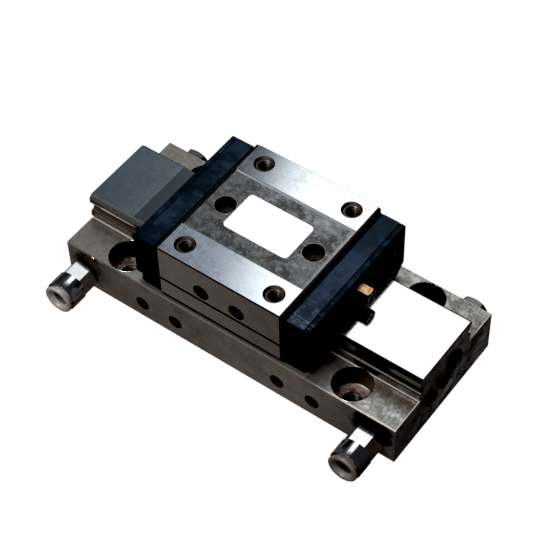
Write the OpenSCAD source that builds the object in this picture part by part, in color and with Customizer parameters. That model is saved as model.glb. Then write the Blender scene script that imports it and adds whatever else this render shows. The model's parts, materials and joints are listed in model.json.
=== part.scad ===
/* [Base and rail] */
// Length of the base, along the travel
base_l = 100; // [90:1:130]
// Width of the base
base_w = 42.4; // [42:0.2:50]
// Height of the base ledges
base_h = 13.2; // [12.8:0.1:15]
// Width of the rail over its side walls
rail_w = 22.4; // [21.6:0.1:22.6]
// Height of the rail above the ledges
rail_h = 8.3; // [8:0.1:9.5]
// Chamfer along the rail's top edges
rail_chamfer = 1; // [0.5:0.1:1.2]
// Depth of the clearance groove at the rail's foot
relief_d = 0.5; // [0.3:0.1:0.8]
// Height of the clearance groove at the rail's foot
relief_h = 0.9; // [0.6:0.1:1.2]
// Chamfer along the outer edges of the base
base_edge = 0.3; // [0.2:0.1:0.6]

/* [Mounting holes in the base] */
// Pitch of the mounting holes along the base
mount_pitch_x = 68.4; // [66:0.2:70]
// Pitch of the mounting holes across the base
mount_pitch_y = 31.6; // [31.4:0.1:32]
// Radius of the counterbores
mount_cb_r = 5.1; // [4.6:0.1:5.2]
// Depth of the counterbores below the ledge
mount_cb_depth = 6.8; // [5:0.1:8]
// Radius of the screw holes
mount_hole_r = 2.6; // [2.2:0.05:2.8]

/* [Switch holes in the front of the base] */
// Distance from the middle of the base to each pair of holes
switch_x = 20.9; // [19:0.1:22]
// Pitch of the two holes of a pair
switch_pitch = 10.4; // [9:0.1:11]
// Height of the holes above the base's underside
switch_z = 5.4; // [4.5:0.1:7]
// Radius of the tapped holes
switch_r = 2.1; // [1.8:0.05:2.2]
// Depth of the tapped holes
switch_depth = 6; // [4:0.5:7]

/* [Cylinder] */
// Radius of the bore through the base
bore_r = 8; // [7.6:0.1:8.2]
// Height of the bore's axis above the base's underside
bore_z = 10.4; // [10.2:0.1:11]
// Full travel of the table
travel = 20; // [10:1:22]
// Where the table stands now, measured from mid travel
table_shift = -1.4; // [-4:0.1:4]
// Clear space between piston and bumper at the end of travel
end_gap = 0.3; // [0.2:0.1:1]
// Radial clearance between piston and bore
piston_clear = 0.06; // [0.04:0.01:0.1]
// Radial clearance of the piston's rings in the bore
ring_clear = 0.03; // [0.02:0.01:0.05]
// Width of each piston seal
piston_seal_w = 2.4; // [2:0.1:3]
// Radial height of each piston seal
piston_seal_h = 1.6; // [1.2:0.1:2]
// Width of each wear ring
wear_w = 2.5; // [2:0.1:3]
// Radial height of each wear ring
wear_h = 0.7; // [0.5:0.1:1]
// Distance from the piston's end to its seal, and on to its wear ring
piston_land = 1.8; // [1.4:0.1:2.5]

/* [End plugs] */
// Thickness of each end plug
plug_t = 2.8; // [2.6:0.1:2.8]
// Radial clearance of the plug in the bore
plug_clear = 0.03; // [0.02:0.01:0.06]
// Width of the sealing ring on the plug
plug_ring_w = 1.6; // [1.2:0.1:1.7]
// Radial height of the sealing ring on the plug
plug_ring_h = 1.3; // [1:0.1:1.5]
// Thickness of the retaining ring
circlip_t = 1; // [0.8:0.1:1.2]
// How far the retaining ring's groove lies inside the end face
circlip_inset = 0.9; // [0.7:0.1:1]
// Depth of the retaining ring's groove
circlip_groove = 0.55; // [0.4:0.05:0.7]
// Radial width of the retaining ring
circlip_w = 1.6; // [1.3:0.1:2]
// Radius of the rubber bumper
bumper_r = 4.6; // [3.5:0.1:5]
// How far the bumper stands out of the plug
bumper_out = 1.5; // [1:0.1:2]
// How deep the bumper sits in the plug
bumper_in = 0.5; // [0.3:0.1:0.8]

/* [Air ports] */
// Distance from the base's left end to the ports there
port_inset_left = 5.7; // [5.5:0.1:6.4]
// Distance from the base's right end to the ports there
port_inset_right = 7; // [6.2:0.1:7.2]
// Height of the ports above the base's underside
port_z = 5.5; // [5.2:0.1:6]
// Radius of the port's thread
port_r = 2.1; // [1.9:0.05:2.2]
// Depth of the port's thread
port_depth = 5; // [4.5:0.1:6]
// Radius of the air passage from port to bore
air_r = 1.1; // [0.8:0.05:1.2]

/* [Tube fittings] */
// Width across the flats of the fitting
hex_af = 7.6; // [7.2:0.1:8]
// Length of the fitting's hexagon
hex_l = 4.6; // [4:0.1:6]
// Thickness of the gasket under the fitting
gasket_t = 1.1; // [0.6:0.1:1.3]
// Radius of the fitting's round body
barrel_r = 4.3; // [4.2:0.05:4.6]
// Length of the fitting's round body
barrel_l = 4.3; // [4.2:0.1:6]
// Radius of the release bush inside the fitting
bush_r = 3.35; // [3.2:0.05:3.4]
// Radius of the release bush's collar in front of the fitting
collar_r = 4.1; // [3.8:0.05:4.15]
// Running clearance around the release bush
bush_clear = 0.05; // [0.03:0.01:0.1]
// How far the release bush stands out at rest
bush_out = 1.8; // [1.6:0.1:2.4]
// How far the release bush travels when it is pressed
bush_travel = 0.8; // [0.4:0.1:1]
// Radius of the way in for the tube
tube_r = 2.1; // [1.95:0.05:2.2]
// Thickness of the gripping claw ring
claw_t = 0.4; // [0.3:0.05:0.5]
// Thickness of the tube seal
tube_seal_t = 1.7; // [1.4:0.1:2]
// Turn of the left fitting's hexagon about its axis
left_hex_turn = -6; // [-15:1:15]

/* [Port plugs] */
// Width across the flats of the port plug
port_plug_af = 7.6; // [7.2:0.1:8]
// Height of the plug's hexagonal head
port_plug_h = 3.9; // [3:0.1:5]
// Thickness of the gasket under the plug
plug_gasket_t = 0.5; // [0.3:0.1:0.8]
// Turn of the plug's hexagon about its axis
plug_hex_turn = 10; // [0:1:30]

/* [Table block] */
// Length of the steel block
block_l = 35.9; // [35.9:0.1:40]
// Width of the steel block
block_w = 41.6; // [41:0.1:44]
// Height of the table's top face above the base's underside
table_z = 31.3; // [31.2:0.1:34]
// Gap between ledge and block
ledge_gap = 1.1; // [0.8:0.1:1.5]
// Gap between the rail's sides and the block
side_gap = 0.6; // [0.4:0.05:0.8]
// Gap between the rail's top and the block
top_gap = 0.9; // [0.7:0.05:1.2]
// Width of the recessed strip along the middle of the top
strip_w = 22.2; // [20:0.2:24]
// Depth of the recessed strip
strip_d = 0.5; // [0.3:0.1:0.8]
// Height of the fine groove along the block's sides
side_line_z = 20.3; // [20:0.1:20.4]
// Width of the fine groove along the block's sides
side_line_w = 0.4; // [0.3:0.1:0.4]
// Depth of the fine groove along the block's sides
side_line_d = 0.6; // [0.3:0.1:0.8]
// Chamfer along the block's top edges
block_edge = 0.3; // [0.2:0.1:0.6]

/* [Holes in the table] */
// Pitch of the tapped holes along the table
table_pitch_x = 26.4; // [24:0.2:27]
// Pitch of the tapped holes across the table
table_pitch_y = 32; // [31.6:0.1:33]
// Radius of the tapped holes
table_hole_r = 2.1; // [1.6:0.05:2.2]
// Radius at the mouth of the tapped holes
table_mouth_r = 2.75; // [2.4:0.05:3]
// Depth of the tapped holes
table_hole_depth = 6.5; // [5:0.1:6.8]
// Pitch of the tapped holes in the table's side
side_pitch = 10.6; // [9:0.1:12]
// Height of the side holes above the base's underside
side_z = 23.3; // [23.2:0.1:24]
// Radius of the side holes
side_r = 2.05; // [1.7:0.05:2.1]
// Radius at the mouth of the side holes
side_mouth_r = 2.4; // [2.2:0.05:2.5]
// Depth of the side holes
side_depth = 4; // [3:0.5:4.5]

/* [Ball guide] */
// Radius of the balls
ball_r = 1.5; // [1.4:0.05:1.6]
// Clearance between a ball and its grooves
ball_clear = 0.08; // [0.05:0.01:0.1]
// How deep the rail's grooves are
groove_d = 1.4; // [1.1:0.1:1.5]
// Distance of the ball grooves below the rail's top
groove_drop = 4.1; // [3.9:0.1:4.3]
// Distance from the loaded row of balls to the returning row
return_step = 5.2; // [5:0.1:5.5]
// Space between two balls of a row
ball_space = 0.2; // [0.1:0.05:0.4]

/* [End caps] */
// Thickness of the thin plate between block and cap
spacer_t = 0.8; // [0.6:0.1:1]
// Thickness of the moulded end cap
cap_t = 5.8; // [5.6:0.1:7]
// Thickness of the end seal
seal_t = 1.7; // [1.4:0.1:2.2]
// How much lower than the table the end cap is
cap_drop = 1.1; // [0.8:0.1:1.5]
// How much narrower on each side than the block the end cap is
cap_inset = 0.55; // [0.3:0.05:0.8]
// Gap between ledge and end cap
cap_ledge_gap = 0.6; // [0.5:0.1:0.8]
// Gap between rail and end cap
cap_rail_gap = 0.5; // [0.4:0.05:0.6]
// Gap between rail and the seal's lips
lip_gap = 0.25; // [0.2:0.05:0.3]
// Chamfer at the seal's lower corners
seal_corner = 3; // [2:0.1:4]
// Distance between the two screws of a cap
cap_screw_pitch = 32; // [29:0.5:32.4]
// Height of the cap screws above the base's underside
cap_screw_z = 23.3; // [22.6:0.1:23.4]
// Radius of the cap screws' threads
cap_screw_r = 1; // [0.8:0.05:1.1]
// Radius of the cap screws' heads
cap_head_r = 1.9; // [1.6:0.1:2]
// Height of the cap screws' heads
cap_head_h = 1.2; // [1:0.1:1.5]
// How deep the cap screws' heads are let into the seal
cap_head_in = 0.6; // [0.4:0.1:1]
// How far the cap screws reach into the block
cap_screw_bite = 4; // [3:0.5:6]

/* [Grease nipple] */
// Width across the flats of the nipple
nipple_af = 4.2; // [3.6:0.1:4.6]
// How far the nipple stands out of the cap
nipple_l = 3.7; // [3:0.1:4.5]
// Height of the nipple's axis above the base's underside
nipple_z = 25.5; // [25:0.1:27]
// Radius of the nipple's thread
nipple_stem_r = 1.4; // [1.2:0.05:1.5]
// Radius of the grease hole
nipple_hole_r = 0.6; // [0.4:0.05:0.8]

/* [Drive yoke] */
// Length of the yoke's stem, along the travel
stem_l = 8; // [6:0.2:9]
// Width of the yoke's stem
stem_w = 6; // [5:0.2:7]
// Clearance around the stem in the piston
stem_clear = 0.05; // [0.03:0.01:0.1]
// Gap between the stem and the slot in the rail
slot_gap = 0.5; // [0.3:0.1:0.8]
// How far the yoke's plate reaches past its screws
yoke_end = 2.8; // [2:0.1:3.5]
// Width of the yoke's plate
yoke_w = 11; // [9:0.5:12]
// Thickness of the yoke's plate
yoke_t = 1.9; // [1.7:0.1:2.1]
// Gap between the yoke's plate and the rail
yoke_gap = 0.5; // [0.3:0.1:0.6]
// Thickness of the block's floor under the screw heads
yoke_web = 1.2; // [1:0.1:1.6]
// Radius of the two screw holes in the table's recessed strip
yoke_cb_r = 2.85; // [2.7:0.05:3]
// Radius of the yoke screws' threads
yoke_screw_r = 1.5; // [1.2:0.05:1.6]
// Radius of the yoke screws' heads
yoke_head_r = 2.7; // [2.4:0.05:2.75]
// Height of the yoke screws' heads
yoke_head_h = 1.9; // [1.6:0.1:2.2]
// Width across the flats of the hexagon in the yoke screws
yoke_key_af = 2; // [1.5:0.1:2.4]

/* [Label] */
// Length of the label
label_l = 19.2; // [16:0.2:19.6]
// Width of the label
label_w = 12.1; // [8:0.1:14]
// Thickness of the label
label_t = 0.12; // [0.1:0.02:0.2]
// Radius of the label's corners
label_corner = 1.2; // [0.6:0.1:2]
// Place of the label along the table
label_x = -0.5; // [-1:0.1:1]
// Place of the label across the table
label_y = 0.4; // [-1:0.1:1]

/* [Hidden] */
$fn = 48;
hex_half = 30;
slack = 0.02;
over = 1;

rail_z = base_h + rail_h;
port_left = -base_l / 2 + port_inset_left;
port_right = base_l / 2 - port_inset_right;
groove_r = ball_r + ball_clear;
groove_z = rail_z - groove_drop;
groove_y = rail_w / 2 - groove_d + groove_r;
return_y = groove_y + return_step;

plug_out_x = base_l / 2 - circlip_inset - circlip_t;
plug_in_x = plug_out_x - plug_t;
bumper_x = plug_in_x - bumper_out;
piston_half = bumper_x - travel / 2 - end_gap;
piston_r = bore_r - piston_clear;
seal_in = piston_land + piston_seal_w;
wear_in = seal_in + piston_land;

gasket_y = base_w / 2;
hex_y = gasket_y + gasket_t;
barrel_y = hex_y + hex_l;
mouth_y = barrel_y + barrel_l;
bush_end_y = mouth_y + bush_out;
claw_y = barrel_y + claw_t;
seal_y = barrel_y - tube_seal_t;
tube_stop_y = hex_y + 1;
bush_in_y = claw_y + bush_travel + 0.1;
collar_y = mouth_y + bush_travel + 0.1;
collar_edge = 0.3;
stem_in = port_depth - 0.6;
seal_pocket_r = hex_af / 2 - 0.8;

block_z = base_h + ledge_gap;
ceiling_z = rail_z + top_gap;
strip_z = table_z - strip_d;
yoke_low_z = rail_z + yoke_gap;
yoke_l = table_pitch_x + 2 * yoke_end;
yoke_top_z = yoke_low_z + yoke_t;
yoke_seat_z = yoke_top_z + yoke_web;
slot_l = travel + stem_l + 2 * slot_gap;
slot_w = stem_w + 2 * slot_gap;
stem_low_z = bore_z - bore_r / 2;

spacer_x = block_l / 2;
cap_x = spacer_x + spacer_t;
seal_x = cap_x + cap_t;
cap_end_x = seal_x + seal_t;
cap_z = table_z - cap_drop;
cap_low_z = base_h + cap_ledge_gap;
cap_w = block_w - 2 * cap_inset;
head_x = cap_end_x - cap_head_in;
turn_r = return_step / 2;
turn_a = 2 * asin((ball_r + ball_space / 2) / turn_r);

// ---- Shared shapes -------------------------------------------------------

// A cylinder along X, starting at x
module bar_x(r, x, l) {
    translate([x, 0, 0]) rotate([0, 90, 0]) cylinder(r = r, h = l);
}

// A ring along X, starting at x
module ring_x(r_out, r_in, x, l) {
    difference() {
        bar_x(r_out, x, l);
        bar_x(r_in, x - over, l + 2 * over);
    }
}

// A cylinder that points away from the base along -Y
module bar_y(r, y, l) {
    translate([0, -y, 0]) rotate([90, 0, 0]) cylinder(r = r, h = l);
}

// A ring that points away from the base along -Y
module ring_y(r_out, r_in, y, l) {
    difference() {
        bar_y(r_out, y, l);
        bar_y(r_in, y - over, l + 2 * over);
    }
}

// A cone frustum along -Y
module cone_y(r_near, r_far, y, l) {
    translate([0, -y, 0]) rotate([90, 0, 0]) cylinder(r1 = r_near, r2 = r_far, h = l);
}

// A stepped bore along -Y, given as [radius, distance] corners
module bore_y(steps) {
    first = steps[0][1];
    last = steps[len(steps) - 1][1];
    rotate([90, 0, 0]) rotate_extrude()
        polygon(concat([[0, first]], steps, [[0, last]]));
}

// A hexagonal bar along +Z, flats facing -Y and +Y, its far edges chamfered
module hex_bar(af, l, turn = 0) {
    corner_r = af / 2 / cos(30);
    chamfer = corner_r - af / 2 + 0.1;
    intersection() {
        rotate([0, 0, turn]) cylinder(r = corner_r, h = l, $fn = 6);
        union() {
            cylinder(r = corner_r + over, h = l - chamfer);
            translate([0, 0, l - chamfer])
                cylinder(r1 = corner_r + chamfer * 0.7, r2 = af / 2 - 0.1, h = chamfer);
        }
    }
}

// A section in the YZ plane carried along X, from x on
module carry_x(x, l) {
    translate([x, 0, 0]) rotate([90, 0, 90]) linear_extrude(height = l) children();
}

// Four copies at the corners of a rectangle
module at_corners(pitch_x, pitch_y) {
    for (i = [-1, 1], j = [-1, 1])
        translate([i * pitch_x / 2, j * pitch_y / 2, 0]) children();
}

// Moves the drawing to where the table stands
module on_table() {
    translate([table_shift, 0, 0]) children();
}

// Mirrors the drawing to the left end
module at_end(side) {
    if (side > 0) children();
    else mirror([1, 0, 0]) children();
}

// Half of the rail's outline above the ledge, grown outwards by gap
function rail_half(gap) = [
    [rail_w / 2 + gap, base_h],
    [rail_w / 2 + gap, rail_z - rail_chamfer + gap / 2],
    [rail_w / 2 - rail_chamfer + gap / 2, rail_z + gap]
];

// The rail's outline down to a given height
module rail_outline(gap, low) {
    half = rail_half(gap);
    polygon(concat(
        [[half[0][0], low]],
        [for (p = half) p],
        [for (i = [2:-1:0]) [-half[i][0], half[i][1]]],
        [[-half[0][0], low]]
    ));
}

// ---- Base ----------------------------------------------------------------

module base_outline() {
    w = base_w / 2;
    e = base_edge;
    polygon([
        [-w + e, 0], [w - e, 0], [w, e], [w, base_h - e], [w - e, base_h],
        [-w + e, base_h], [-w, base_h - e], [-w, e]
    ]);
}

module mounting_holes() {
    at_corners(mount_pitch_x, mount_pitch_y) {
        translate([0, 0, -over]) cylinder(r = mount_hole_r, h = base_h + 2 * over);
        translate([0, 0, base_h - mount_cb_depth])
            cylinder(r = mount_cb_r, h = mount_cb_depth + relief_h);
    }
}

module switch_holes() {
    for (i = [-1, 1], j = [-1, 1])
        translate([i * switch_x + j * switch_pitch / 2, 0, switch_z])
            bar_y(switch_r, base_w / 2 - switch_depth, switch_depth + over);
}

module air_ports() {
    for (x = [port_left, port_right], face = [0, 180])
        translate([x, 0, port_z]) rotate([0, 0, face]) {
            bar_y(port_r, base_w / 2 - port_depth, port_depth + over);
            bar_y(air_r, bore_r / 2, base_w / 2 - bore_r / 2);
            cone_y(port_r, port_r + 0.4, base_w / 2 - 0.4, 0.42);
        }
}

module rail_body() {
    color([0.47, 0.45, 0.43]) difference() {
        union() {
            carry_x(-base_l / 2, base_l) base_outline();
            carry_x(-base_l / 2, base_l) rail_outline(0, base_h / 2);
        }
        for (j = [-1, 1]) {
            translate([0, j * groove_y, groove_z])
                bar_x(groove_r, -base_l / 2 - over, base_l + 2 * over);
            translate([-base_l / 2 - over, j * (rail_w / 2 + over - relief_d) - over, base_h])
                cube([base_l + 2 * over, 2 * over, relief_h]);
        }
        translate([0, 0, bore_z]) {
            bar_x(bore_r, -base_l / 2 - over, base_l + 2 * over);
            for (side = [-1, 1]) at_end(side)
                bar_x(bore_r + circlip_groove, plug_out_x, circlip_t);
        }
        translate([-slot_l / 2, -slot_w / 2, bore_z]) cube([slot_l, slot_w, rail_z]);
        mounting_holes();
        switch_holes();
        air_ports();
    }
}

// ---- Cylinder ends -------------------------------------------------------

module end_plug(side) {
    color([0.62, 0.62, 0.63]) at_end(side) translate([0, 0, bore_z]) difference() {
        bar_x(bore_r - plug_clear, plug_in_x, plug_t);
        ring_x(bore_r + over, bore_r - plug_ring_h,
               plug_in_x + (plug_t - plug_ring_w) / 2, plug_ring_w);
        bar_x(bumper_r, plug_in_x - over, bumper_in + over);
    }
}

module plug_ring(side) {
    color([0.07, 0.07, 0.07]) at_end(side) translate([0, 0, bore_z])
        ring_x(bore_r - plug_clear, bore_r - plug_ring_h,
               plug_in_x + (plug_t - plug_ring_w) / 2 + slack, plug_ring_w - 2 * slack);
}

module circlip(side) {
    out_r = bore_r + circlip_groove - slack;
    in_r = bore_r - circlip_w;
    ear_r = 1.7;
    ear_turn = 24;
    color([0.30, 0.30, 0.31]) at_end(side) translate([plug_out_x + slack, 0, bore_z])
        rotate([90, 0, 90]) linear_extrude(height = circlip_t - 2 * slack) difference() {
            union() {
                difference() {
                    circle(r = out_r);
                    circle(r = in_r);
                    polygon([[0, 0],
                             for (a = [-ear_turn, ear_turn]) 2 * bore_r * [sin(a), -cos(a)]]);
                }
                for (a = [-ear_turn, ear_turn])
                    translate((in_r + 0.1) * [sin(a), -cos(a)]) circle(r = ear_r);
            }
            for (a = [-ear_turn, ear_turn])
                translate((in_r - 0.1) * [sin(a), -cos(a)]) circle(r = ear_r / 2.2);
        }
}

module bumper(side) {
    color([0.10, 0.10, 0.10]) at_end(side) translate([0, 0, bore_z])
        bar_x(bumper_r - slack, bumper_x, bumper_out + bumper_in);
}

// ---- Tube fittings and port plugs ----------------------------------------

module at_front_port(side) {
    translate([side < 0 ? port_left : port_right, 0, port_z]) children();
}

module at_back_port(side) {
    translate([side < 0 ? port_left : port_right, 0, port_z]) rotate([0, 0, 180]) children();
}

module fitting_gasket(side) {
    color([0.06, 0.06, 0.06]) at_front_port(side)
        ring_y(hex_af / 2 - 0.3, port_r, gasket_y, gasket_t);
}

module fitting(side) {
    turn = side < 0 ? left_hex_turn : 0;
    color([0.78, 0.78, 0.79]) at_front_port(side) difference() {
        union() {
            bar_y(port_r - slack, gasket_y - stem_in, stem_in + gasket_t);
            translate([0, -hex_y, 0]) rotate([90, 0, 0])
                rotate([0, 0, turn]) cylinder(r = hex_af / 2 / cos(30), h = hex_l, $fn = 6);
            bar_y(barrel_r, barrel_y, barrel_l - 0.4);
            cone_y(barrel_r, barrel_r - 0.2, mouth_y - 0.4, 0.4);
        }
        bore_y([
            [air_r, gasket_y - stem_in - over], [air_r, tube_stop_y],
            [tube_r, tube_stop_y], [tube_r, seal_y],
            [seal_pocket_r, seal_y], [seal_pocket_r, barrel_y],
            [bush_r + bush_clear, barrel_y], [bush_r + bush_clear, mouth_y + over]
        ]);
    }
}

module tube_seal(side) {
    color([0.05, 0.05, 0.05]) at_front_port(side)
        ring_y(seal_pocket_r - slack, tube_r - 0.1, seal_y + slack, tube_seal_t - 2 * slack);
}

module claw_ring(side) {
    color([0.72, 0.72, 0.72]) at_front_port(side) difference() {
        ring_y(bush_r, tube_r + 0.1, barrel_y, claw_t);
        for (a = [0:60:120])
            rotate([0, a, 0]) translate([-0.25, -claw_y - over, -bush_r + 0.6])
                cube([0.5, claw_t + 2 * over, 2 * (bush_r - 0.6)]);
    }
}

module release_bush(side) {
    funnel = 0.8;
    color([0.55, 0.53, 0.50]) at_front_port(side) difference() {
        union() {
            bar_y(bush_r, bush_in_y, collar_y - bush_in_y + slack);
            bar_y(collar_r, collar_y, bush_end_y - collar_y - collar_edge);
            cone_y(collar_r, collar_r - collar_edge, bush_end_y - collar_edge, collar_edge);
        }
        bar_y(tube_r, bush_in_y - over, bush_end_y - bush_in_y + 2 * over);
        cone_y(tube_r, tube_r + funnel, bush_end_y - funnel, funnel + 0.01);
    }
}

module port_plug(side) {
    socket_af = 2.5;
    color([0.66, 0.66, 0.65]) at_back_port(side) difference() {
        union() {
            bar_y(port_r - slack, gasket_y - stem_in, stem_in + plug_gasket_t + 0.1);
            translate([0, -gasket_y - plug_gasket_t, 0]) rotate([90, 0, 0])
                hex_bar(port_plug_af, port_plug_h, plug_hex_turn + hex_half);
        }
        translate([0, -gasket_y - plug_gasket_t - port_plug_h + 1.5, 0]) rotate([90, 0, 0])
            cylinder(r = socket_af / 2 / cos(30), h = 3, $fn = 6);
    }
}

module plug_gasket(side) {
    color([0.06, 0.06, 0.06]) at_back_port(side)
        ring_y(port_plug_af / 2, port_r, gasket_y, plug_gasket_t);
}

// ---- Piston --------------------------------------------------------------

module piston() {
    color([0.74, 0.75, 0.77]) on_table() translate([0, 0, bore_z]) difference() {
        bar_x(piston_r, -piston_half, 2 * piston_half);
        for (side = [-1, 1]) at_end(side) {
            ring_x(bore_r + over, bore_r - piston_seal_h, piston_half - seal_in, piston_seal_w);
            ring_x(bore_r + over, bore_r - wear_h, piston_half - wear_in - wear_w, wear_w);
        }
        translate([-stem_l / 2 - stem_clear, -stem_w / 2 - stem_clear, stem_low_z - bore_z - slot_gap])
            cube([stem_l + 2 * stem_clear, stem_w + 2 * stem_clear, 2 * bore_r]);
    }
}

module piston_seal(side) {
    color([0.08, 0.08, 0.09]) on_table() at_end(side) translate([0, 0, bore_z])
        ring_x(bore_r - ring_clear, bore_r - piston_seal_h,
               piston_half - seal_in + slack, piston_seal_w - 2 * slack);
}

module wear_ring(side) {
    color([0.30, 0.22, 0.14]) on_table() at_end(side) translate([0, 0, bore_z])
        ring_x(bore_r - ring_clear, bore_r - wear_h,
               piston_half - wear_in - wear_w + slack, wear_w - 2 * slack);
}

module drive_yoke() {
    color([0.50, 0.50, 0.52]) on_table() difference() {
        union() {
            translate([-yoke_l / 2, -yoke_w / 2, yoke_low_z]) cube([yoke_l, yoke_w, yoke_t]);
            translate([-stem_l / 2, -stem_w / 2, stem_low_z])
                cube([stem_l, stem_w, yoke_low_z - stem_low_z + yoke_t / 2]);
        }
        for (i = [-1, 1]) translate([i * table_pitch_x / 2, 0, yoke_low_z - over])
            cylinder(r = yoke_screw_r, h = yoke_t + 2 * over);
    }
}

module yoke_screws() {
    color([0.16, 0.16, 0.17]) on_table() for (i = [-1, 1])
        translate([i * table_pitch_x / 2, 0, 0]) difference() {
            union() {
                translate([0, 0, yoke_low_z + 0.2])
                    cylinder(r = yoke_screw_r - slack, h = yoke_seat_z - yoke_low_z);
                translate([0, 0, yoke_seat_z]) cylinder(r = yoke_head_r, h = yoke_head_h);
            }
            translate([0, 0, yoke_seat_z + yoke_head_h - 1.2])
                cylinder(r = yoke_key_af / 2 / cos(30), h = 2, $fn = 6);
        }
}

// ---- Table ---------------------------------------------------------------

module block_outline() {
    w = block_w / 2;
    in = rail_w / 2 + side_gap;
    e = block_edge;
    s = strip_w / 2;
    polygon([
        [-w + e, block_z], [-in, block_z], [-in, ceiling_z], [in, ceiling_z], [in, block_z],
        [w - e, block_z], [w, block_z + e], [w, table_z - e], [w - e, table_z],
        [s, table_z], [s - strip_d, strip_z], [-s + strip_d, strip_z], [-s, table_z],
        [-w + e, table_z], [-w, table_z - e], [-w, block_z + e]
    ]);
}

module table_block() {
    color([0.52, 0.51, 0.50]) on_table() difference() {
        carry_x(-block_l / 2, block_l) block_outline();
        for (j = [-1, 1]) {
            for (y = [groove_y, return_y]) translate([0, j * y, groove_z])
                bar_x(groove_r, -block_l / 2 - over, block_l + 2 * over);
            translate([-block_l / 2 - over, j * block_w / 2 - side_line_d, side_line_z])
                cube([block_l + 2 * over, 2 * side_line_d, side_line_w]);
        }
        at_corners(table_pitch_x, table_pitch_y) {
            translate([0, 0, table_z - table_hole_depth])
                cylinder(r = table_hole_r, h = table_hole_depth + over);
            translate([0, 0, table_z - (table_mouth_r - table_hole_r)])
                cylinder(r1 = table_hole_r, r2 = table_mouth_r, h = table_mouth_r - table_hole_r + 0.01);
        }
        for (i = [-1, 1]) {
            translate([i * side_pitch / 2, 0, side_z]) {
                bar_y(side_r, block_w / 2 - side_depth, side_depth + over);
                cone_y(side_r, side_mouth_r, block_w / 2 - (side_mouth_r - side_r),
                       side_mouth_r - side_r + 0.01);
            }
            translate([i * table_pitch_x / 2, 0, 0]) {
                translate([0, 0, yoke_seat_z]) cylinder(r = yoke_cb_r, h = table_z);
                translate([0, 0, rail_z]) cylinder(r = yoke_screw_r + 0.1, h = table_z - rail_z);
            }
            for (j = [-1, 1]) at_end(i) translate([0, j * cap_screw_pitch / 2, cap_screw_z])
                bar_x(cap_screw_r, block_l / 2 - cap_screw_bite - 0.5, cap_screw_bite + over);
        }
        translate([-yoke_l / 2 - slack, -yoke_w / 2 - slack, rail_z])
            cube([yoke_l + 2 * slack, yoke_w + 2 * slack, yoke_top_z - rail_z]);
    }
}

// Outline of a plate that straddles the rail
module saddle_outline(w, low, high, corner, gap) {
    h = w / 2;
    in = rail_w / 2 + gap;
    polygon([
        [-h + corner, low], [-in, low], [-in, rail_z + gap], [in, rail_z + gap], [in, low],
        [h - corner, low], [h, low + corner], [h, high], [-h, high], [-h, low + corner]
    ]);
}

module cap_screw_holes(r) {
    for (j = [-1, 1]) translate([0, j * cap_screw_pitch / 2, cap_screw_z])
        bar_x(r, spacer_x - over, cap_end_x - spacer_x + 2 * over);
}

// The way round for the balls: two straight pieces and a half ring
module ball_turns() {
    for (j = [-1, 1]) translate([0, j * (groove_y + turn_r), groove_z]) {
        for (k = [-1, 1]) translate([0, k * turn_r, 0])
            bar_x(groove_r, spacer_x - over, spacer_t + over + slack);
        translate([cap_x, 0, 0]) rotate([0, 0, -90]) rotate_extrude(angle = 180)
            translate([turn_r, 0]) circle(r = groove_r);
    }
}

module spacer_plate(side) {
    color([0.06, 0.06, 0.07]) on_table() at_end(side) difference() {
        carry_x(spacer_x, spacer_t)
            saddle_outline(block_w - 0.6, cap_low_z, table_z - 0.1, 0.3, cap_rail_gap);
        cap_screw_holes(cap_screw_r + 0.1);
        ball_turns();
    }
}

module end_cap(side) {
    line_x = cap_x + 0.5;
    line_w = 0.4;
    color([0.07, 0.08, 0.10]) on_table() at_end(side) difference() {
        carry_x(cap_x, cap_t) saddle_outline(cap_w, cap_low_z, cap_z, 0.5, cap_rail_gap);
        translate([line_x, -cap_w / 2 - over, cap_z - line_w / 2])
            cube([line_w, cap_w + 2 * over, over]);
        cap_screw_holes(cap_screw_r + 0.1);
        ball_turns();
        if (side > 0) translate([0, 0, nipple_z]) bar_x(nipple_stem_r, cap_x + over, cap_t);
    }
}

module end_seal(side) {
    color([0.05, 0.05, 0.05]) on_table() at_end(side) difference() {
        carry_x(seal_x, seal_t)
            saddle_outline(cap_w, cap_low_z, cap_z, seal_corner, lip_gap);
        cap_screw_holes(cap_screw_r + 0.1);
        for (j = [-1, 1]) translate([0, j * cap_screw_pitch / 2, cap_screw_z])
            bar_x(cap_head_r + 0.1, head_x, over);
        if (side > 0) translate([0, 0, nipple_z])
            bar_x(nipple_stem_r + 0.1, seal_x - over, seal_t + 2 * over);
    }
}

module cap_screws() {
    tail = head_x - spacer_x + cap_screw_bite;
    color([0.13, 0.13, 0.14]) on_table()
        for (side = [-1, 1], j = [-1, 1]) at_end(side)
            translate([0, j * cap_screw_pitch / 2, cap_screw_z]) difference() {
                union() {
                    bar_x(cap_screw_r - slack, head_x - tail, tail + 0.1);
                    bar_x(cap_head_r, head_x, cap_head_h);
                }
                for (a = [0, 90]) rotate([a, 0, 0])
                    translate([head_x + cap_head_h / 2, -1.1, -0.25]) cube([over, 2.2, 0.5]);
            }
}

module grease_nipple() {
    stem = cap_t + seal_t - 2 * over;
    color([0.76, 0.60, 0.30]) on_table() translate([0, 0, nipple_z]) difference() {
        union() {
            bar_x(nipple_stem_r - slack, cap_end_x - stem, stem + 0.1);
            translate([cap_end_x, 0, 0]) rotate([0, 90, 0])
                hex_bar(nipple_af, nipple_l, hex_half);
        }
        bar_x(nipple_hole_r, cap_end_x - stem - over, stem + nipple_l + 2 * over);
    }
}

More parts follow.
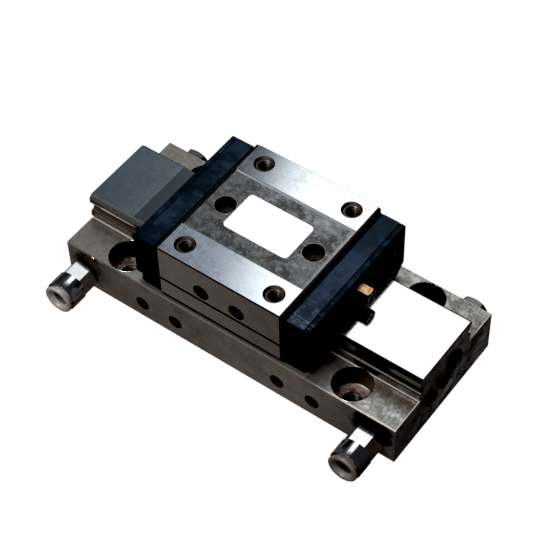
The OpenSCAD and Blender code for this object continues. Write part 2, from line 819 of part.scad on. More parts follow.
module balls(face) {
    pitch = 2 * ball_r + ball_space;
    count = floor((block_l - ball_space) / pitch);
    color([0.82, 0.83, 0.85]) on_table()
        for (y = [groove_y, return_y], i = [0:count - 1])
            translate([(i - (count - 1) / 2) * pitch, face * y, groove_z]) sphere(r = ball_r);
    color([0.82, 0.83, 0.85]) on_table()
        for (side = [-1, 1], k = [-1:1]) at_end(side)
            translate([cap_x + turn_r * cos(k * turn_a),
                       face * (groove_y + turn_r + turn_r * sin(k * turn_a)), groove_z])
                sphere(r = ball_r);
}

module label() {
    w = label_w / 2 - label_corner;
    l = label_l / 2 - label_corner;
    color([0.96, 0.96, 0.95]) on_table() translate([label_x, label_y, strip_z])
        linear_extrude(height = label_t) union() {
            square([label_l, 2 * w], center = true);
            square([2 * l, label_w], center = true);
            for (i = [-1, 1], j = [-1, 1]) translate([i * l, j * w]) circle(r = label_corner);
        }
}

rail_body();
end_plug(-1);  // end_plug_left
end_plug(1);  // end_plug_right
plug_ring(-1);  // plug_ring_left
plug_ring(1);  // plug_ring_right
circlip(-1);  // circlip_left
circlip(1);  // circlip_right
bumper(-1);  // bumper_left
bumper(1);  // bumper_right
fitting(-1);  // fitting_left
fitting(1);  // fitting_right
fitting_gasket(-1);  // fitting_gasket_left
fitting_gasket(1);  // fitting_gasket_right
release_bush(-1);  // release_bush_left
release_bush(1);  // release_bush_right
claw_ring(-1);  // claw_ring_left
claw_ring(1);  // claw_ring_right
tube_seal(-1);  // tube_seal_left
tube_seal(1);  // tube_seal_right
port_plug(-1);  // port_plug_left
port_plug(1);  // port_plug_right
plug_gasket(-1);  // plug_gasket_left
plug_gasket(1);  // plug_gasket_right
piston();
piston_seal(-1);  // piston_seal_left
piston_seal(1);  // piston_seal_right
wear_ring(-1);  // wear_ring_left
wear_ring(1);  // wear_ring_right
drive_yoke();
yoke_screws();
table_block();
spacer_plate(-1);  // spacer_plate_left
spacer_plate(1);  // spacer_plate_right
end_cap(-1);  // end_cap_left
end_cap(1);  // end_cap_right
end_seal(-1);  // end_seal_left
end_seal(1);  // end_seal_right
cap_screws();
grease_nipple();
balls(-1);  // balls_front
balls(1);  // balls_back
label();
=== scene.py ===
"""Pneumatic slide table: camera, light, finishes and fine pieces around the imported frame.

All lengths are in millimetres inside the functions and turned into metres by MM.
"""
import json
import math
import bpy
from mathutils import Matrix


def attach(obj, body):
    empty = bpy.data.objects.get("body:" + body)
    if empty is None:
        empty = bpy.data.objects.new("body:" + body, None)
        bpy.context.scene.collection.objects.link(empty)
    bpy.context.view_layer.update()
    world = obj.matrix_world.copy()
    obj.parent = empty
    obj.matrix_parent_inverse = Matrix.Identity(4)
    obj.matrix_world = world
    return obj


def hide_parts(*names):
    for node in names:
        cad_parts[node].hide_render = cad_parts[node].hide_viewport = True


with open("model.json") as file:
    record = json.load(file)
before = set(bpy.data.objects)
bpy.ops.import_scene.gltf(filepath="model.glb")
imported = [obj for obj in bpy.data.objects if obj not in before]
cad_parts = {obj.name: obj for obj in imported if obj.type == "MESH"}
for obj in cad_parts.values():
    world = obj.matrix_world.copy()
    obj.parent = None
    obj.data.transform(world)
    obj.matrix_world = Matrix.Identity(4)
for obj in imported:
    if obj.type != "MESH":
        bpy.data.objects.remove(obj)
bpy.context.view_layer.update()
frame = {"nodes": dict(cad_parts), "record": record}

from types import SimpleNamespace

import bmesh
import bpy
import numpy as np
from mathutils import Matrix

MM = 0.001
LEDGE_Z, RAIL_Z = 13.2, 21.5
BASE_LENGTH = 100
TABLE_X = -1.4
PORT_X = {"left": -44.3, "right": 43.0}
PORT_Z = 5.5
MOUNT_X, MOUNT_Y = 34.2, 15.8
SWITCH_X, SWITCH_STEP, SWITCH_Z = 20.9, 5.2, 5.4
TABLE_HOLE_X, TABLE_HOLE_Y = 13.2, 16.0
SIDE_HOLE_X, SIDE_HOLE_Z = 5.3, 23.3
SIDES = ((-1, "left"), (1, "right"))
CORNERS = [(i, j, f"{side}_{'front' if j < 0 else 'back'}") for i, side in SIDES for j in (-1, 1)]


# ---- Camera, light and floor ---------------------------------------------

def set_camera():
    """Places the camera by azimuth, elevation and roll round a point near the table's middle."""
    azimuth, elevation, roll = (math.radians(a) for a in (37.624, 50.895, -1.894))
    target = np.array((-1.0, 1.216, 12.0)) * MM
    away, focal_length, sensor = 436.43 * MM, 114.284, 36
    back = np.array((math.sin(azimuth) * math.cos(elevation),
                     -math.cos(azimuth) * math.cos(elevation), math.sin(elevation)))
    right = np.cross(-back, (0, 0, 1))
    right /= np.linalg.norm(right)
    up = np.cross(right, -back)
    turned_right = math.cos(roll) * right + math.sin(roll) * up
    turned_up = math.cos(roll) * up - math.sin(roll) * right
    camera = bpy.data.objects.new("camera", bpy.data.cameras.new("camera"))
    bpy.context.scene.collection.objects.link(camera)
    place = np.eye(4)
    place[:3, :3] = np.column_stack((turned_right, turned_up, back))
    place[:3, 3] = target + back * away
    camera.matrix_world = Matrix(place.tolist())
    camera.data.sensor_width = sensor
    camera.data.lens = focal_length
    camera.data.clip_start = 0.01
    camera.data.clip_end = 20
    bpy.context.scene.camera = camera


def put(tree, kind, values=None, **settings):
    """Adds a shader node; values are numbers for its sockets or sockets to link."""
    made = tree.nodes.new("ShaderNode" + kind)
    for name, value in settings.items():
        setattr(made, name, value)
    for key, value in (values or {}).items():
        if isinstance(value, bpy.types.NodeSocket):
            tree.links.new(value, made.inputs[key])
        else:
            made.inputs[key].default_value = value
    return made


def maths(tree, kind, *values, clamp=False):
    """A Math node of this kind; returns its output socket."""
    made = put(tree, "Math", dict(enumerate(values)), operation=kind, use_clamp=clamp)
    return made.outputs[0]


def opaque(tone):
    """A colour of three numbers with its alpha; a socket passes through."""
    return (*tone, 1) if isinstance(tone, tuple) else tone


def times(tone, factor):
    """A colour made darker or paler by a factor."""
    return tuple(factor * part for part in tone)


def ramp(tree, factor, *stops, smooth=False):
    """A Color Ramp with (place, colour or grey) stops; returns its colour socket."""
    made = put(tree, "ValToRGB", {"Fac": factor})
    line = made.color_ramp
    line.interpolation = "EASE" if smooth else "LINEAR"
    while len(line.elements) < len(stops):
        line.elements.new(0.5)
    for spot, (place, tone) in zip(line.elements, stops):
        spot.position = place
        spot.color = opaque(tone) if isinstance(tone, tuple) else (tone, tone, tone, 1)
    return made.outputs["Color"]


def blend(tree, factor, first, second, kind="MIX"):
    """Mixes two colours by factor; returns the colour socket."""
    made = put(tree, "Mix", {"Factor": factor, 6: opaque(first), 7: opaque(second)},
               data_type="RGBA", blend_type=kind)
    return made.outputs[2]


def steer(tree, factor, first, second):
    """Mixes two numbers by factor; returns the number socket."""
    made = put(tree, "Mix", {"Factor": factor, 2: first, 3: second}, data_type="FLOAT")
    return made.outputs[0]


def flat_mesh(name, corners):
    """A plain four cornered sheet for the floor and the light panels."""
    mesh = bpy.data.meshes.new(name)
    mesh.from_pydata(corners, [], [(0, 1, 2, 3)])
    sheet = bpy.data.objects.new(name, mesh)
    bpy.context.scene.collection.objects.link(sheet)
    return sheet


def new_tree(name):
    """A new material; returns it and its empty tree."""
    made = bpy.data.materials.new(name)
    made.use_nodes = True
    made.node_tree.nodes.clear()
    return made, made.node_tree


def set_floor():
    """A pale floor. It is white to the eye and throws back a dim warm light at the metal."""
    floor = flat_mesh("floor", [(-3, -3, 0), (3, -3, 0), (3, 3, 0), (-3, 3, 0)])
    made, tree = new_tree("floor_paper")
    eye = put(tree, "LightPath").outputs["Is Camera Ray"]
    bright = put(tree, "Emission", {"Color": (1, 1, 1, 1), "Strength": 1.05})
    spot = put(tree, "SeparateXYZ", {0: put(tree, "TexCoord").outputs["Object"]}).outputs
    side = maths(tree, "MULTIPLY_ADD", spot["X"], 10.0, 0.5)
    warm = (1.0, 0.82, 0.68)
    glow = ramp(tree, side, (0.0, warm), (0.62, warm), (0.98, (0.16, 0.135, 0.115)), smooth=True)
    dim = put(tree, "Emission", {"Color": glow, "Strength": 0.17})
    mixed = put(tree, "MixShader", {0: eye, 1: dim.outputs[0], 2: bright.outputs[0]})
    put(tree, "OutputMaterial", {"Surface": mixed.outputs[0]})
    floor.data.materials.append(made)


def set_panel():
    """A wide bright panel above and behind, whose left part falls off in cool steps."""
    high = 0.82
    left, right, near, far = -0.95, 0.10, 0.20, 1.00
    panel = flat_mesh("light_panel", [(left, near, high), (left, far, high),
                                      (right, far, high), (right, near, high)])
    made, tree = new_tree("light_panel")
    place = put(tree, "SeparateXYZ", {0: put(tree, "TexCoord").outputs["Object"]})
    lean = maths(tree, "MULTIPLY_ADD", place.outputs["Y"], 0.424, place.outputs["X"])
    along = maths(tree, "MULTIPLY", maths(tree, "ADD", lean, 0.5), 2.0)
    tone = ramp(tree, along, (0.0, (0.02, 0.025, 0.03)), (0.28, (0.058, 0.070, 0.085)),
                (0.42, (0.080, 0.092, 0.112)), (0.53, (0.17, 0.20, 0.24)), (0.57, (0.22, 0.26, 0.31)),
                (0.614, (0.60, 0.65, 0.70)), (0.67, (0.92, 0.96, 0.97)), (1.0, (1.0, 1.0, 1.0)))
    light = put(tree, "Emission", {"Color": tone, "Strength": 1.9})
    put(tree, "OutputMaterial", {"Surface": light.outputs[0]})
    panel.data.materials.append(made)
    panel.visible_camera = False


def soft_light(name, place, aim, size, power, tone):
    """A square soft light at place that looks at aim, all in metres."""
    data = bpy.data.lights.new(name, "AREA")
    data.shape = "SQUARE"
    data.size = size
    data.energy = power
    data.color = tone
    lamp = bpy.data.objects.new(name, data)
    bpy.context.scene.collection.objects.link(lamp)
    back = np.array(place) - np.array(aim)
    back /= np.linalg.norm(back)
    right = np.cross((0, 0, 1), back)
    right /= np.linalg.norm(right)
    matrix = np.eye(4)
    matrix[:3, :3] = np.column_stack((right, np.cross(back, right), back))
    matrix[:3, 3] = place
    lamp.matrix_world = Matrix(matrix.tolist())
    return lamp


def set_light():
    """A dim room that is brighter towards the back, the panel, one soft lamp and the view curve."""
    world = bpy.data.worlds.new("studio")
    world.use_nodes = True
    tree = world.node_tree
    tree.nodes.clear()
    away = put(tree, "SeparateXYZ", {0: put(tree, "TexCoord").outputs["Generated"]}).outputs["Y"]
    room = ramp(tree, maths(tree, "MULTIPLY_ADD", away, 0.5, 0.5),
                (0.18, (0.42, 0.43, 0.44)), (0.46, (0.026, 0.030, 0.035)))
    sky = put(tree, "Background", {"Color": room, "Strength": 1.0})
    put(tree, "OutputWorld", {"Surface": sky.outputs[0]})
    bpy.context.scene.world = world
    set_panel()
    soft_light("top_key", (-0.15, -0.35, 0.95), (0, 0, 0.02), 0.35, 10.0, (1.0, 0.99, 0.97))
    view = bpy.context.scene.view_settings
    view.view_transform = "Standard"
    view.use_curve_mapping = True
    view.curve_mapping.black_level = (0.006, 0.0065, 0.0065)
    view.curve_mapping.update()


# ---- Shared effects ------------------------------------------------------

GROUPS = {}


def effect(name, inputs, outputs):
    """Starts a shader node group with named number sockets; returns its tree, inputs and outputs."""
    tree = bpy.data.node_groups.new(name, "ShaderNodeTree")
    for title, value in inputs.items():
        socket = tree.interface.new_socket(title, in_out="INPUT", socket_type="NodeSocketFloat")
        socket.default_value = value
    for title in outputs:
        tree.interface.new_socket(title, in_out="OUTPUT", socket_type="NodeSocketFloat")
    GROUPS[name] = tree
    given = tree.nodes.new("NodeGroupInput").outputs
    return tree, given, tree.nodes.new("NodeGroupOutput").inputs


def use(tree, name, **values):
    """Places a shared effect in a material with its own values."""
    made = tree.nodes.new("ShaderNodeGroup")
    made.node_tree = GROUPS[name]
    for key, value in values.items():
        made.inputs[key].default_value = value
    return made.outputs


def stretched(tree, scale=(1, 1, 1), turn=(0, 0, 0)):
    """The piece's own coordinates, turned, in units of 1 mm divided by scale on each axis."""
    spot = put(tree, "TexCoord").outputs["Object"]
    values = {"Vector": spot, "Rotation": turn, "Scale": tuple(s / MM for s in scale)}
    return put(tree, "Mapping", values).outputs[0]


def scaled(tree, spot, factor):
    """A place multiplied by one number."""
    return put(tree, "VectorMath", {0: spot, 3: factor}, operation="SCALE").outputs[0]


def noise(tree, spot, scale, detail, **more):
    """Noise between 0 and 1, about 0.5 on average."""
    return put(tree, "TexNoise", {"Vector": spot, "Scale": scale, "Detail": detail, **more}).outputs[0]


def normal_parts(tree):
    """The surface's direction, as X, Y and Z sockets."""
    return put(tree, "SeparateXYZ", {0: put(tree, "NewGeometry").outputs["Normal"]}).outputs


def build_edge_wear():
    """Edge wear: 1 where the rounded normal leaves the true one, broken up by noise."""
    tree, given, out = effect("edge_wear", {"Width": 0.0003, "Gain": 4.0, "Break": 0.5}, ["Mask"])
    rounded = put(tree, "Bevel", {"Radius": given["Width"]}, samples=6).outputs[0]
    true = put(tree, "NewGeometry").outputs["Normal"]
    same = put(tree, "VectorMath", {0: rounded, 1: true}, operation="DOT_PRODUCT").outputs["Value"]
    edge = maths(tree, "MULTIPLY", inverse(tree, same), given["Gain"], clamp=True)
    patch = ramp(tree, noise(tree, stretched(tree), 1.3, 4.0), (0.38, 0.0), (0.60, 1.0))
    keep = steer(tree, given["Break"], 1.0, patch)
    tree.links.new(both(tree, edge, keep), out["Mask"])


def build_mottle():
    """Mottle: three sizes of noise laid over each other, as on handled and lightly stained steel."""
    tree, given, out = effect("mottle", {"Size": 1.0, "Sharp": 0.5}, ["Tone", "Fine"])
    spot = scaled(tree, stretched(tree), given["Size"])
    large = noise(tree, spot, 0.16, 3.0, Distortion=0.6)
    middle = noise(tree, spot, 0.55, 5.0, Roughness=0.65)
    mixed = maths(tree, "ADD", both(tree, large, 0.5), both(tree, middle, 0.5))
    sharp = maths(tree, "MULTIPLY_ADD", given["Sharp"], 5.0, 1.0)
    centred = maths(tree, "MULTIPLY_ADD", maths(tree, "SUBTRACT", mixed, 0.5), sharp, 0.5, clamp=True)
    tree.links.new(centred, out["Tone"])
    tree.links.new(noise(tree, spot, 3.1, 3.0), out["Fine"])


def build_grinding():
    """Grinding marks: noise drawn out along X into fine parallel lines."""
    tree, given, out = effect("grinding", {"Lines": 9.0}, ["Height"])
    spot = scaled(tree, stretched(tree, (0.03, 1, 1)), given["Lines"])
    tree.links.new(noise(tree, spot, 1.0, 4.0, Roughness=0.7), out["Height"])


def build_scuffs():
    """Scuffs: thin bands where a drawn-out noise crosses its middle, in patches."""
    tree, given, out = effect("scuffs", {"Amount": 0.5, "Size": 1.0}, ["Mask"])
    bands = []
    for turn, stretch in ((0.5, (0.35, 2.2, 1.0)), (-0.8, (0.25, 1.7, 1.0)), (1.9, (0.5, 2.6, 1.0))):
        spot = scaled(tree, stretched(tree, stretch, (turn, 0.3, turn)), given["Size"])
        bands.append(ramp(tree, apart(tree, noise(tree, spot, 0.45, 2.0), 0.5), (0.0, 1.0), (0.012, 0.0)))
    patch = ramp(tree, noise(tree, stretched(tree), 0.3, 2.0), (0.46, 0.0), (0.62, 1.0))
    tree.links.new(both(tree, either(tree, *bands), patch, given["Amount"]), out["Mask"])


def build_specks():
    """Specks: small round spots round scattered points, only some of them kept."""
    tree, given, out = effect("specks", {"Size": 1.0, "Share": 0.3}, ["Mask"])
    spot = scaled(tree, stretched(tree), given["Size"])
    cells = put(tree, "TexVoronoi", {"Vector": spot, "Scale": 1.0})
    near = ramp(tree, cells.outputs["Distance"], (0.10, 1.0), (0.24, 0.0))
    luck = put(tree, "SeparateColor", {0: cells.outputs["Color"]}).outputs[0]
    tree.links.new(both(tree, near, under(tree, luck, given["Share"])), out["Mask"])


def build_facing():
    """Facing: 1 on faces that look up (Up, more strictly Flat), along Y (Front) and along X (End)."""
    tree, _, out = effect("facing", {}, ["Up", "Flat", "Front", "End"])
    parts = normal_parts(tree)
    tree.links.new(over(tree, parts["Z"], 0.8), out["Up"])
    tree.links.new(over(tree, parts["Z"], 0.985), out["Flat"])
    for title, key in (("Front", "Y"), ("End", "X")):
        tree.links.new(over(tree, maths(tree, "ABSOLUTE", parts[key]), 0.8), out[title])


def shader(tree, base, rough, metal, bump, bump_size=0.02, **fixed):
    """The Principled shader with a bump height, and the material's output."""
    lift = put(tree, "Bump", {"Height": bump, "Distance": bump_size * MM, "Strength": 1.0})
    values = {"Base Color": base, "Roughness": rough, "Metallic": metal, "Normal": lift.outputs[0]}
    values.update({key.replace("_", " "): value for key, value in fixed.items()})
    done = put(tree, "BsdfPrincipled", values)
    put(tree, "OutputMaterial", {"Surface": done.outputs[0]})


def spot_mm(tree):
    """The piece's coordinates in millimetres, as X, Y and Z sockets."""
    return put(tree, "SeparateXYZ", {0: stretched(tree)}).outputs


def both(tree, *masks):
    """The product: 1 where every mask is 1. A number among them weakens the result."""
    done = masks[0]
    for mask in masks[1:]:
        done = maths(tree, "MULTIPLY", done, mask)
    return done


def either(tree, *masks):
    """The largest of the masks."""
    done = masks[0]
    for mask in masks[1:]:
        done = maths(tree, "MAXIMUM", done, mask)
    return done


def inverse(tree, mask):
    """1 where the mask is 0, and 0 where it is 1."""
    return maths(tree, "SUBTRACT", 1.0, mask)


def under(tree, value, limit):
    """1 where the value is below the limit."""
    return maths(tree, "LESS_THAN", value, limit)


def over(tree, value, limit):
    """1 where the value is above the limit."""
    return maths(tree, "GREATER_THAN", value, limit)


def apart(tree, value, middle):
    """How far a value is from a middle, without its sign."""
    return maths(tree, "ABSOLUTE", maths(tree, "SUBTRACT", value, middle))


def distance(tree, first, second):
    """The root of the sum of two squares."""
    squares = (maths(tree, "POWER", part, 2.0) for part in (first, second))
    return maths(tree, "SQRT", maths(tree, "ADD", *squares))


def within(tree, first, second, reach):
    """1 inside a circle of this reach, given the two distances from its middle."""
    return under(tree, distance(tree, first, second), reach)


def lengthwise(tree, value, span):
    """0 half a span before the middle, 1 half a span after it."""
    return maths(tree, "MULTIPLY_ADD", value, 1 / span, 0.5)


def shaded(tree, tone, shade):
    """A colour multiplied by another."""
    return blend(tree, 1.0, tone, shade, "MULTIPLY")


# ---- Finishes ------------------------------------------------------------

# Near black, painted as shade into holes, grooves and gaps.
BLACK_HOLE = (0.010, 0.009, 0.009)


def base_zones(tree):
    """The base's faces and holes as masks, and the patterns that its finishes share.

    from_left runs from 0 at the left end to 1 at the right, level from 0 at the ledge to 1 at the
    rail's top.
    """
    spot = spot_mm(tree)
    way = use(tree, "facing")
    far_x = maths(tree, "ABSOLUTE", spot["X"])
    far_y = maths(tree, "ABSOLUTE", spot["Y"])
    hole_x, hole_y = apart(tree, far_x, MOUNT_X), apart(tree, far_y, MOUNT_Y)
    from_left = lengthwise(tree, spot["X"], BASE_LENGTH)
    bore = both(tree, within(tree, hole_x, hole_y, 5.14), under(tree, spot["Z"], LEDGE_Z - 0.04))
    pair = apart(tree, apart(tree, far_x, SWITCH_X), SWITCH_STEP)
    switch = both(tree, within(tree, pair, apart(tree, spot["Z"], SWITCH_Z), 2.13),
                  under(tree, spot["Y"], -14.0), over(tree, spot["Y"], -21.17))
    return SimpleNamespace(
        spot=spot, way=way, far_x=far_x, far_y=far_y, from_left=from_left, bore=bore, switch=switch,
        mottle=use(tree, "mottle", Size=2.3, Sharp=0.40), patch=use(tree, "mottle", Size=0.9, Sharp=0.25),
        lines=use(tree, "grinding", Lines=9.0)["Height"],
        land=over(tree, spot["Z"], 21.45),
        rail=both(tree, over(tree, spot["Z"], 13.25), under(tree, spot["Z"], 21.45)),
        ledge=both(tree, way["Up"], under(tree, spot["Z"], 14.0)),
        floor=both(tree, bore, way["Up"]),
        tapped=both(tree, within(tree, hole_x, hole_y, 2.62), under(tree, spot["Z"], 6.38)),
        right=ramp(tree, from_left, (0.70, 0.0), (0.86, 1.0)),
        level=maths(tree, "MULTIPLY", maths(tree, "SUBTRACT", spot["Z"], LEDGE_Z), 1 / (RAIL_Z - LEDGE_Z)),
        left=under(tree, spot["X"], 0.0), front=under(tree, spot["Y"], 0.0))


def ledge_tone(tree, zone):
    """Stained steel beside the rail, with milling arcs round each point of the right front ledge, painted
    shade on the right by the rail's foot and towards the rear end, and a painted reflection of the right cap
    beside it.
    """
    spot, mottle = zone.spot, zone.mottle["Tone"]
    stained = ramp(tree, mottle, (0.1, (0.215, 0.188, 0.155)), (0.5, (0.29, 0.267, 0.235)),
                   (0.9, (0.38, 0.36, 0.335)))
    # A paler tone for the ledge towards the right end.
    paler_right = ramp(tree, mottle, (0.1, (0.23, 0.225, 0.21)), (0.5, (0.43, 0.43, 0.425)),
                 (0.85, (0.74, 0.75, 0.75)))
    stained = blend(tree, zone.right, stained, paler_right)
    cutter_squared = 8.0 ** 2
    bow = maths(tree, "POWER", maths(tree, "ADD", spot["Y"], 19.0), 2.0)
    bow = maths(tree, "SQRT", maths(tree, "SUBTRACT", cutter_squared, bow))
    mark = maths(tree, "MULTIPLY_ADD", maths(tree, "SUBTRACT", spot["X"], bow), 5.2,
                 maths(tree, "MULTIPLY", mottle, 3.5))
    arcs = both(tree, ramp(tree, maths(tree, "SINE", mark), (0.3, 0.0), (0.95, 1.0)),
                ramp(tree, zone.patch["Tone"], (0.38, 0.0), (0.70, 0.72)))
    near_rail = ramp(tree, maths(tree, "MULTIPLY_ADD", spot["Y"], -0.05, 0.0), (0.66, 0.0), (0.80, 1.0))
    stained = blend(tree, both(tree, arcs, zone.right, near_rail), stained, (0.19, 0.18, 0.165))
    # Painted shade on the right ledge: darker and warmer by the rail's foot at the front, darker towards the
    # end at the rear.
    foot = ramp(tree, maths(tree, "MULTIPLY", zone.far_y, 0.05), (0.69, (0.44, 0.37, 0.32)),
                (0.77, (0.62, 0.61, 0.59)), (1.0, (0.62, 0.62, 0.61)))
    rear = ramp(tree, zone.from_left, (0.76, (0.66, 0.67, 0.68)), (0.83, (0.53, 0.52, 0.505)),
                (0.98, (0.40, 0.39, 0.37)))
    shade = blend(tree, over(tree, spot["Y"], 0.0), foot, rear)
    stained = blend(tree, zone.right, stained, shaded(tree, stained, shade))
    # Painted reflection of the right cap: the front ledge darkened just beside it.
    beside_cap = both(tree, ramp(tree, zone.from_left, (0.79, 1.0), (0.825, 0.0)),
                      over(tree, spot["X"], 24.0), zone.front)
    return blend(tree, both(tree, beside_cap, 0.6), stained, (0.10, 0.096, 0.09))


def front_tone(tree, zone):
    """Dull brown-grey milled faces, a little darker to the left as painted shade."""
    brown = ramp(tree, zone.patch["Tone"], (0.1, (0.27, 0.25, 0.235)), (0.5, (0.41, 0.395, 0.39)),
                 (0.9, (0.54, 0.53, 0.53)))
    return shaded(tree, brown, ramp(tree, zone.from_left, (0.20, (0.72, 0.72, 0.74)),
                                    (0.45, (0.80, 0.80, 0.81)), (0.70, (1.0, 1.0, 1.0))))


def rail_side_tone(tree, zone):
    """The rail's flanks: dark, darker to the right as painted shade, and on the left front a painted
    highlight on the groove's lower lip between bands of painted shade.
    """
    # Painted shade: the flanks darken towards the right end.
    flank = ramp(tree, zone.from_left, (0.0, (0.115, 0.10, 0.088)), (0.45, (0.06, 0.052, 0.045)),
                 (0.8, (0.016, 0.014, 0.012)), (1.0, (0.010, 0.009, 0.008)))
    # Painted highlight on the groove's lower lip (0.70 to 0.745), with painted shade in the groove above it
    # and at the foot.
    banded = ramp(tree, zone.level,
                  (0.0, (0.02, 0.016, 0.014)), (0.11, (0.03, 0.024, 0.02)),
                  (0.14, (0.085, 0.065, 0.052)), (0.45, (0.070, 0.050, 0.034)),
                  (0.685, (0.055, 0.038, 0.022)), (0.70, (0.97, 0.93, 0.89)),
                  (0.745, (0.90, 0.84, 0.80)), (0.775, (0.030, 0.024, 0.026)),
                  (0.87, (0.025, 0.020, 0.020)), (0.89, (0.10, 0.085, 0.075)),
                  (0.985, (0.72, 0.76, 0.66)))
    fading = ramp(tree, zone.from_left, (0.01, 0.0), (0.13, 0.65))
    banded = blend(tree, fading, banded, (0.030, 0.022, 0.018))
    return blend(tree, both(tree, zone.left, zone.front), flank, banded)


def end_tone(tree, zone):
    """Sawn end faces: cloudy grey, darker to the front as painted shade and slightly warmer beside the rail.
    """
    shadow = (0.20, 0.20, 0.20)
    cloudy = ramp(tree, zone.patch["Tone"], (0.35, shadow), (0.70, (0.90, 0.92, 0.95)))
    # Painted shade: darker towards the front.
    forward = ramp(tree, lengthwise(tree, zone.spot["Y"], 50), (0.1, 0.75), (0.8, 0.0))
    cloudy = blend(tree, forward, cloudy, shadow)
    warmer = blend(tree, 0.12, cloudy, (1.0, 0.93, 0.88))
    return blend(tree, over(tree, zone.spot["Z"], 13.9), cloudy, warmer)


def rail_top_tone(tree, zone):
    """Ground rail top: bright, dulled in patches on the left, with a painted reflection of the left cap
    beside it, and dusty.
    """
    spot = zone.spot
    ground = ramp(tree, zone.lines, (0.3, (0.60, 0.625, 0.635)), (0.7, (0.70, 0.715, 0.72)))
    ground = blend(tree, both(tree, zone.mottle["Fine"], 0.25), ground, (0.42, 0.44, 0.45))
    dull = both(tree, ramp(tree, zone.patch["Tone"], (0.3, 0.0), (0.7, 0.30)), zone.left)
    # Painted reflection of the left cap: the top darkened beside it, with a bright line at the band's outer
    # edge.
    cap_reflection = both(tree, over(tree, spot["X"], -36.45), zone.left)
    stripe = both(tree, under(tree, apart(tree, spot["X"], -36.6), 0.18), 0.35)
    ground = blend(tree, dull, ground, (0.30, 0.315, 0.325))
    ground = blend(tree, both(tree, cap_reflection, 0.62), ground, (0.085, 0.095, 0.10))
    ground = blend(tree, stripe, ground, (1.0, 1.0, 1.0))
    dust = use(tree, "specks", Size=1.9, Share=0.10)["Mask"]
    return blend(tree, both(tree, dust, 0.25), ground, (1.0, 1.0, 1.0))


def fitting_shade(tree, zone):
    """Painted shade round the two fittings: where it lies on the front face, and its tone, mottled on the
    left and near black on the right.
    """
    near_port = distance(tree, apart(tree, zone.far_x, 43.6), apart(tree, zone.spot["Z"], PORT_Z + 3.5))
    near_port = maths(tree, "MULTIPLY_ADD", zone.mottle["Tone"], 2.0, near_port)
    corner = ramp(tree, zone.from_left, (0.0, 1.0), (0.10, 0.15), (0.14, 0.0))
    near_port = maths(tree, "ADD", maths(tree, "ADD", near_port, corner), zone.left)
    where = both(tree, ramp(tree, maths(tree, "MULTIPLY", near_port, 0.1), (0.62, 1.0), (1.04, 0.0)),
                 under(tree, zone.spot["Y"], -20.9), inverse(tree, zone.way["Up"]))
    thin = ramp(tree, zone.mottle["Tone"], (0.25, (0.012, 0.009, 0.007)), (0.75, (0.075, 0.064, 0.055)))
    lighter_left = ramp(tree, zone.from_left, (0.12, 1.0), (0.9, 0.0))
    return where, blend(tree, lighter_left, (0.012, 0.010, 0.009), thin)


def hole_tones(tree, zone, tone):
    """Lays the base's holes over its tone: walls painted dark as shade, stained floors, threads painted
    darker with depth as shade, and switch holes painted black as shade.
    """
    wall = blend(tree, over(tree, zone.spot["X"], 0.0), (0.026, 0.020, 0.017), (0.010, 0.008, 0.007))
    floor = ramp(tree, zone.mottle["Tone"], (0.25, (0.07, 0.045, 0.035)), (0.70, (0.42, 0.30, 0.245)))
    deep = ramp(tree, maths(tree, "MULTIPLY", zone.spot["Z"], 0.1),
                (0.35, (0.02, 0.016, 0.013)), (0.62, (0.085, 0.074, 0.066)))
    tone = blend(tree, zone.bore, tone, wall)
    tone = blend(tree, zone.floor, tone, floor)
    tone = blend(tree, zone.tapped, tone, deep)
    return blend(tree, zone.switch, tone, (0.012, 0.009, 0.008))


def edge_lines(tree, zone, tone):
    """Lays painted lines over the tone: painted highlights on the ledge's front lip towards the right end
    (dark to the left), at the rail's foot and along the ledge's right end, and painted shade on the left
    rail's top chamfer; returns it with the mask of these matt places.
    """
    spot = zone.spot
    lip = both(tree, over(tree, spot["Z"], 12.89), under(tree, spot["Z"], 13.195),
               over(tree, zone.far_y, 20.89))
    foot_line = both(tree, zone.ledge, under(tree, zone.far_y, 11.15),
                     ramp(tree, zone.mottle["Fine"], (0.40, 0.35), (0.60, 1.0)))
    slope = both(tree, over(tree, zone.level, 0.885), under(tree, spot["Z"], 21.49),
                 over(tree, zone.far_y, 10.15), zone.left, inverse(tree, zone.way["End"]))
    end_line = both(tree, zone.ledge, over(tree, spot["X"], 49.72))
    lip_tone = ramp(tree, zone.from_left, (0.76, (0.085, 0.078, 0.070)), (0.86, (0.55, 0.50, 0.46)))
    slope_tone = ramp(tree, zone.level, (0.90, (0.014, 0.012, 0.012)), (0.94, (0.022, 0.021, 0.018)),
                      (0.99, (0.062, 0.066, 0.056)))
    tone = blend(tree, lip, tone, lip_tone)
    tone = blend(tree, foot_line, tone, (0.80, 0.70, 0.64))
    tone = blend(tree, slope, tone, slope_tone)
    tone = blend(tree, end_line, tone, (0.42, 0.38, 0.34))
    return tone, either(tree, lip, foot_line, slope, end_line)


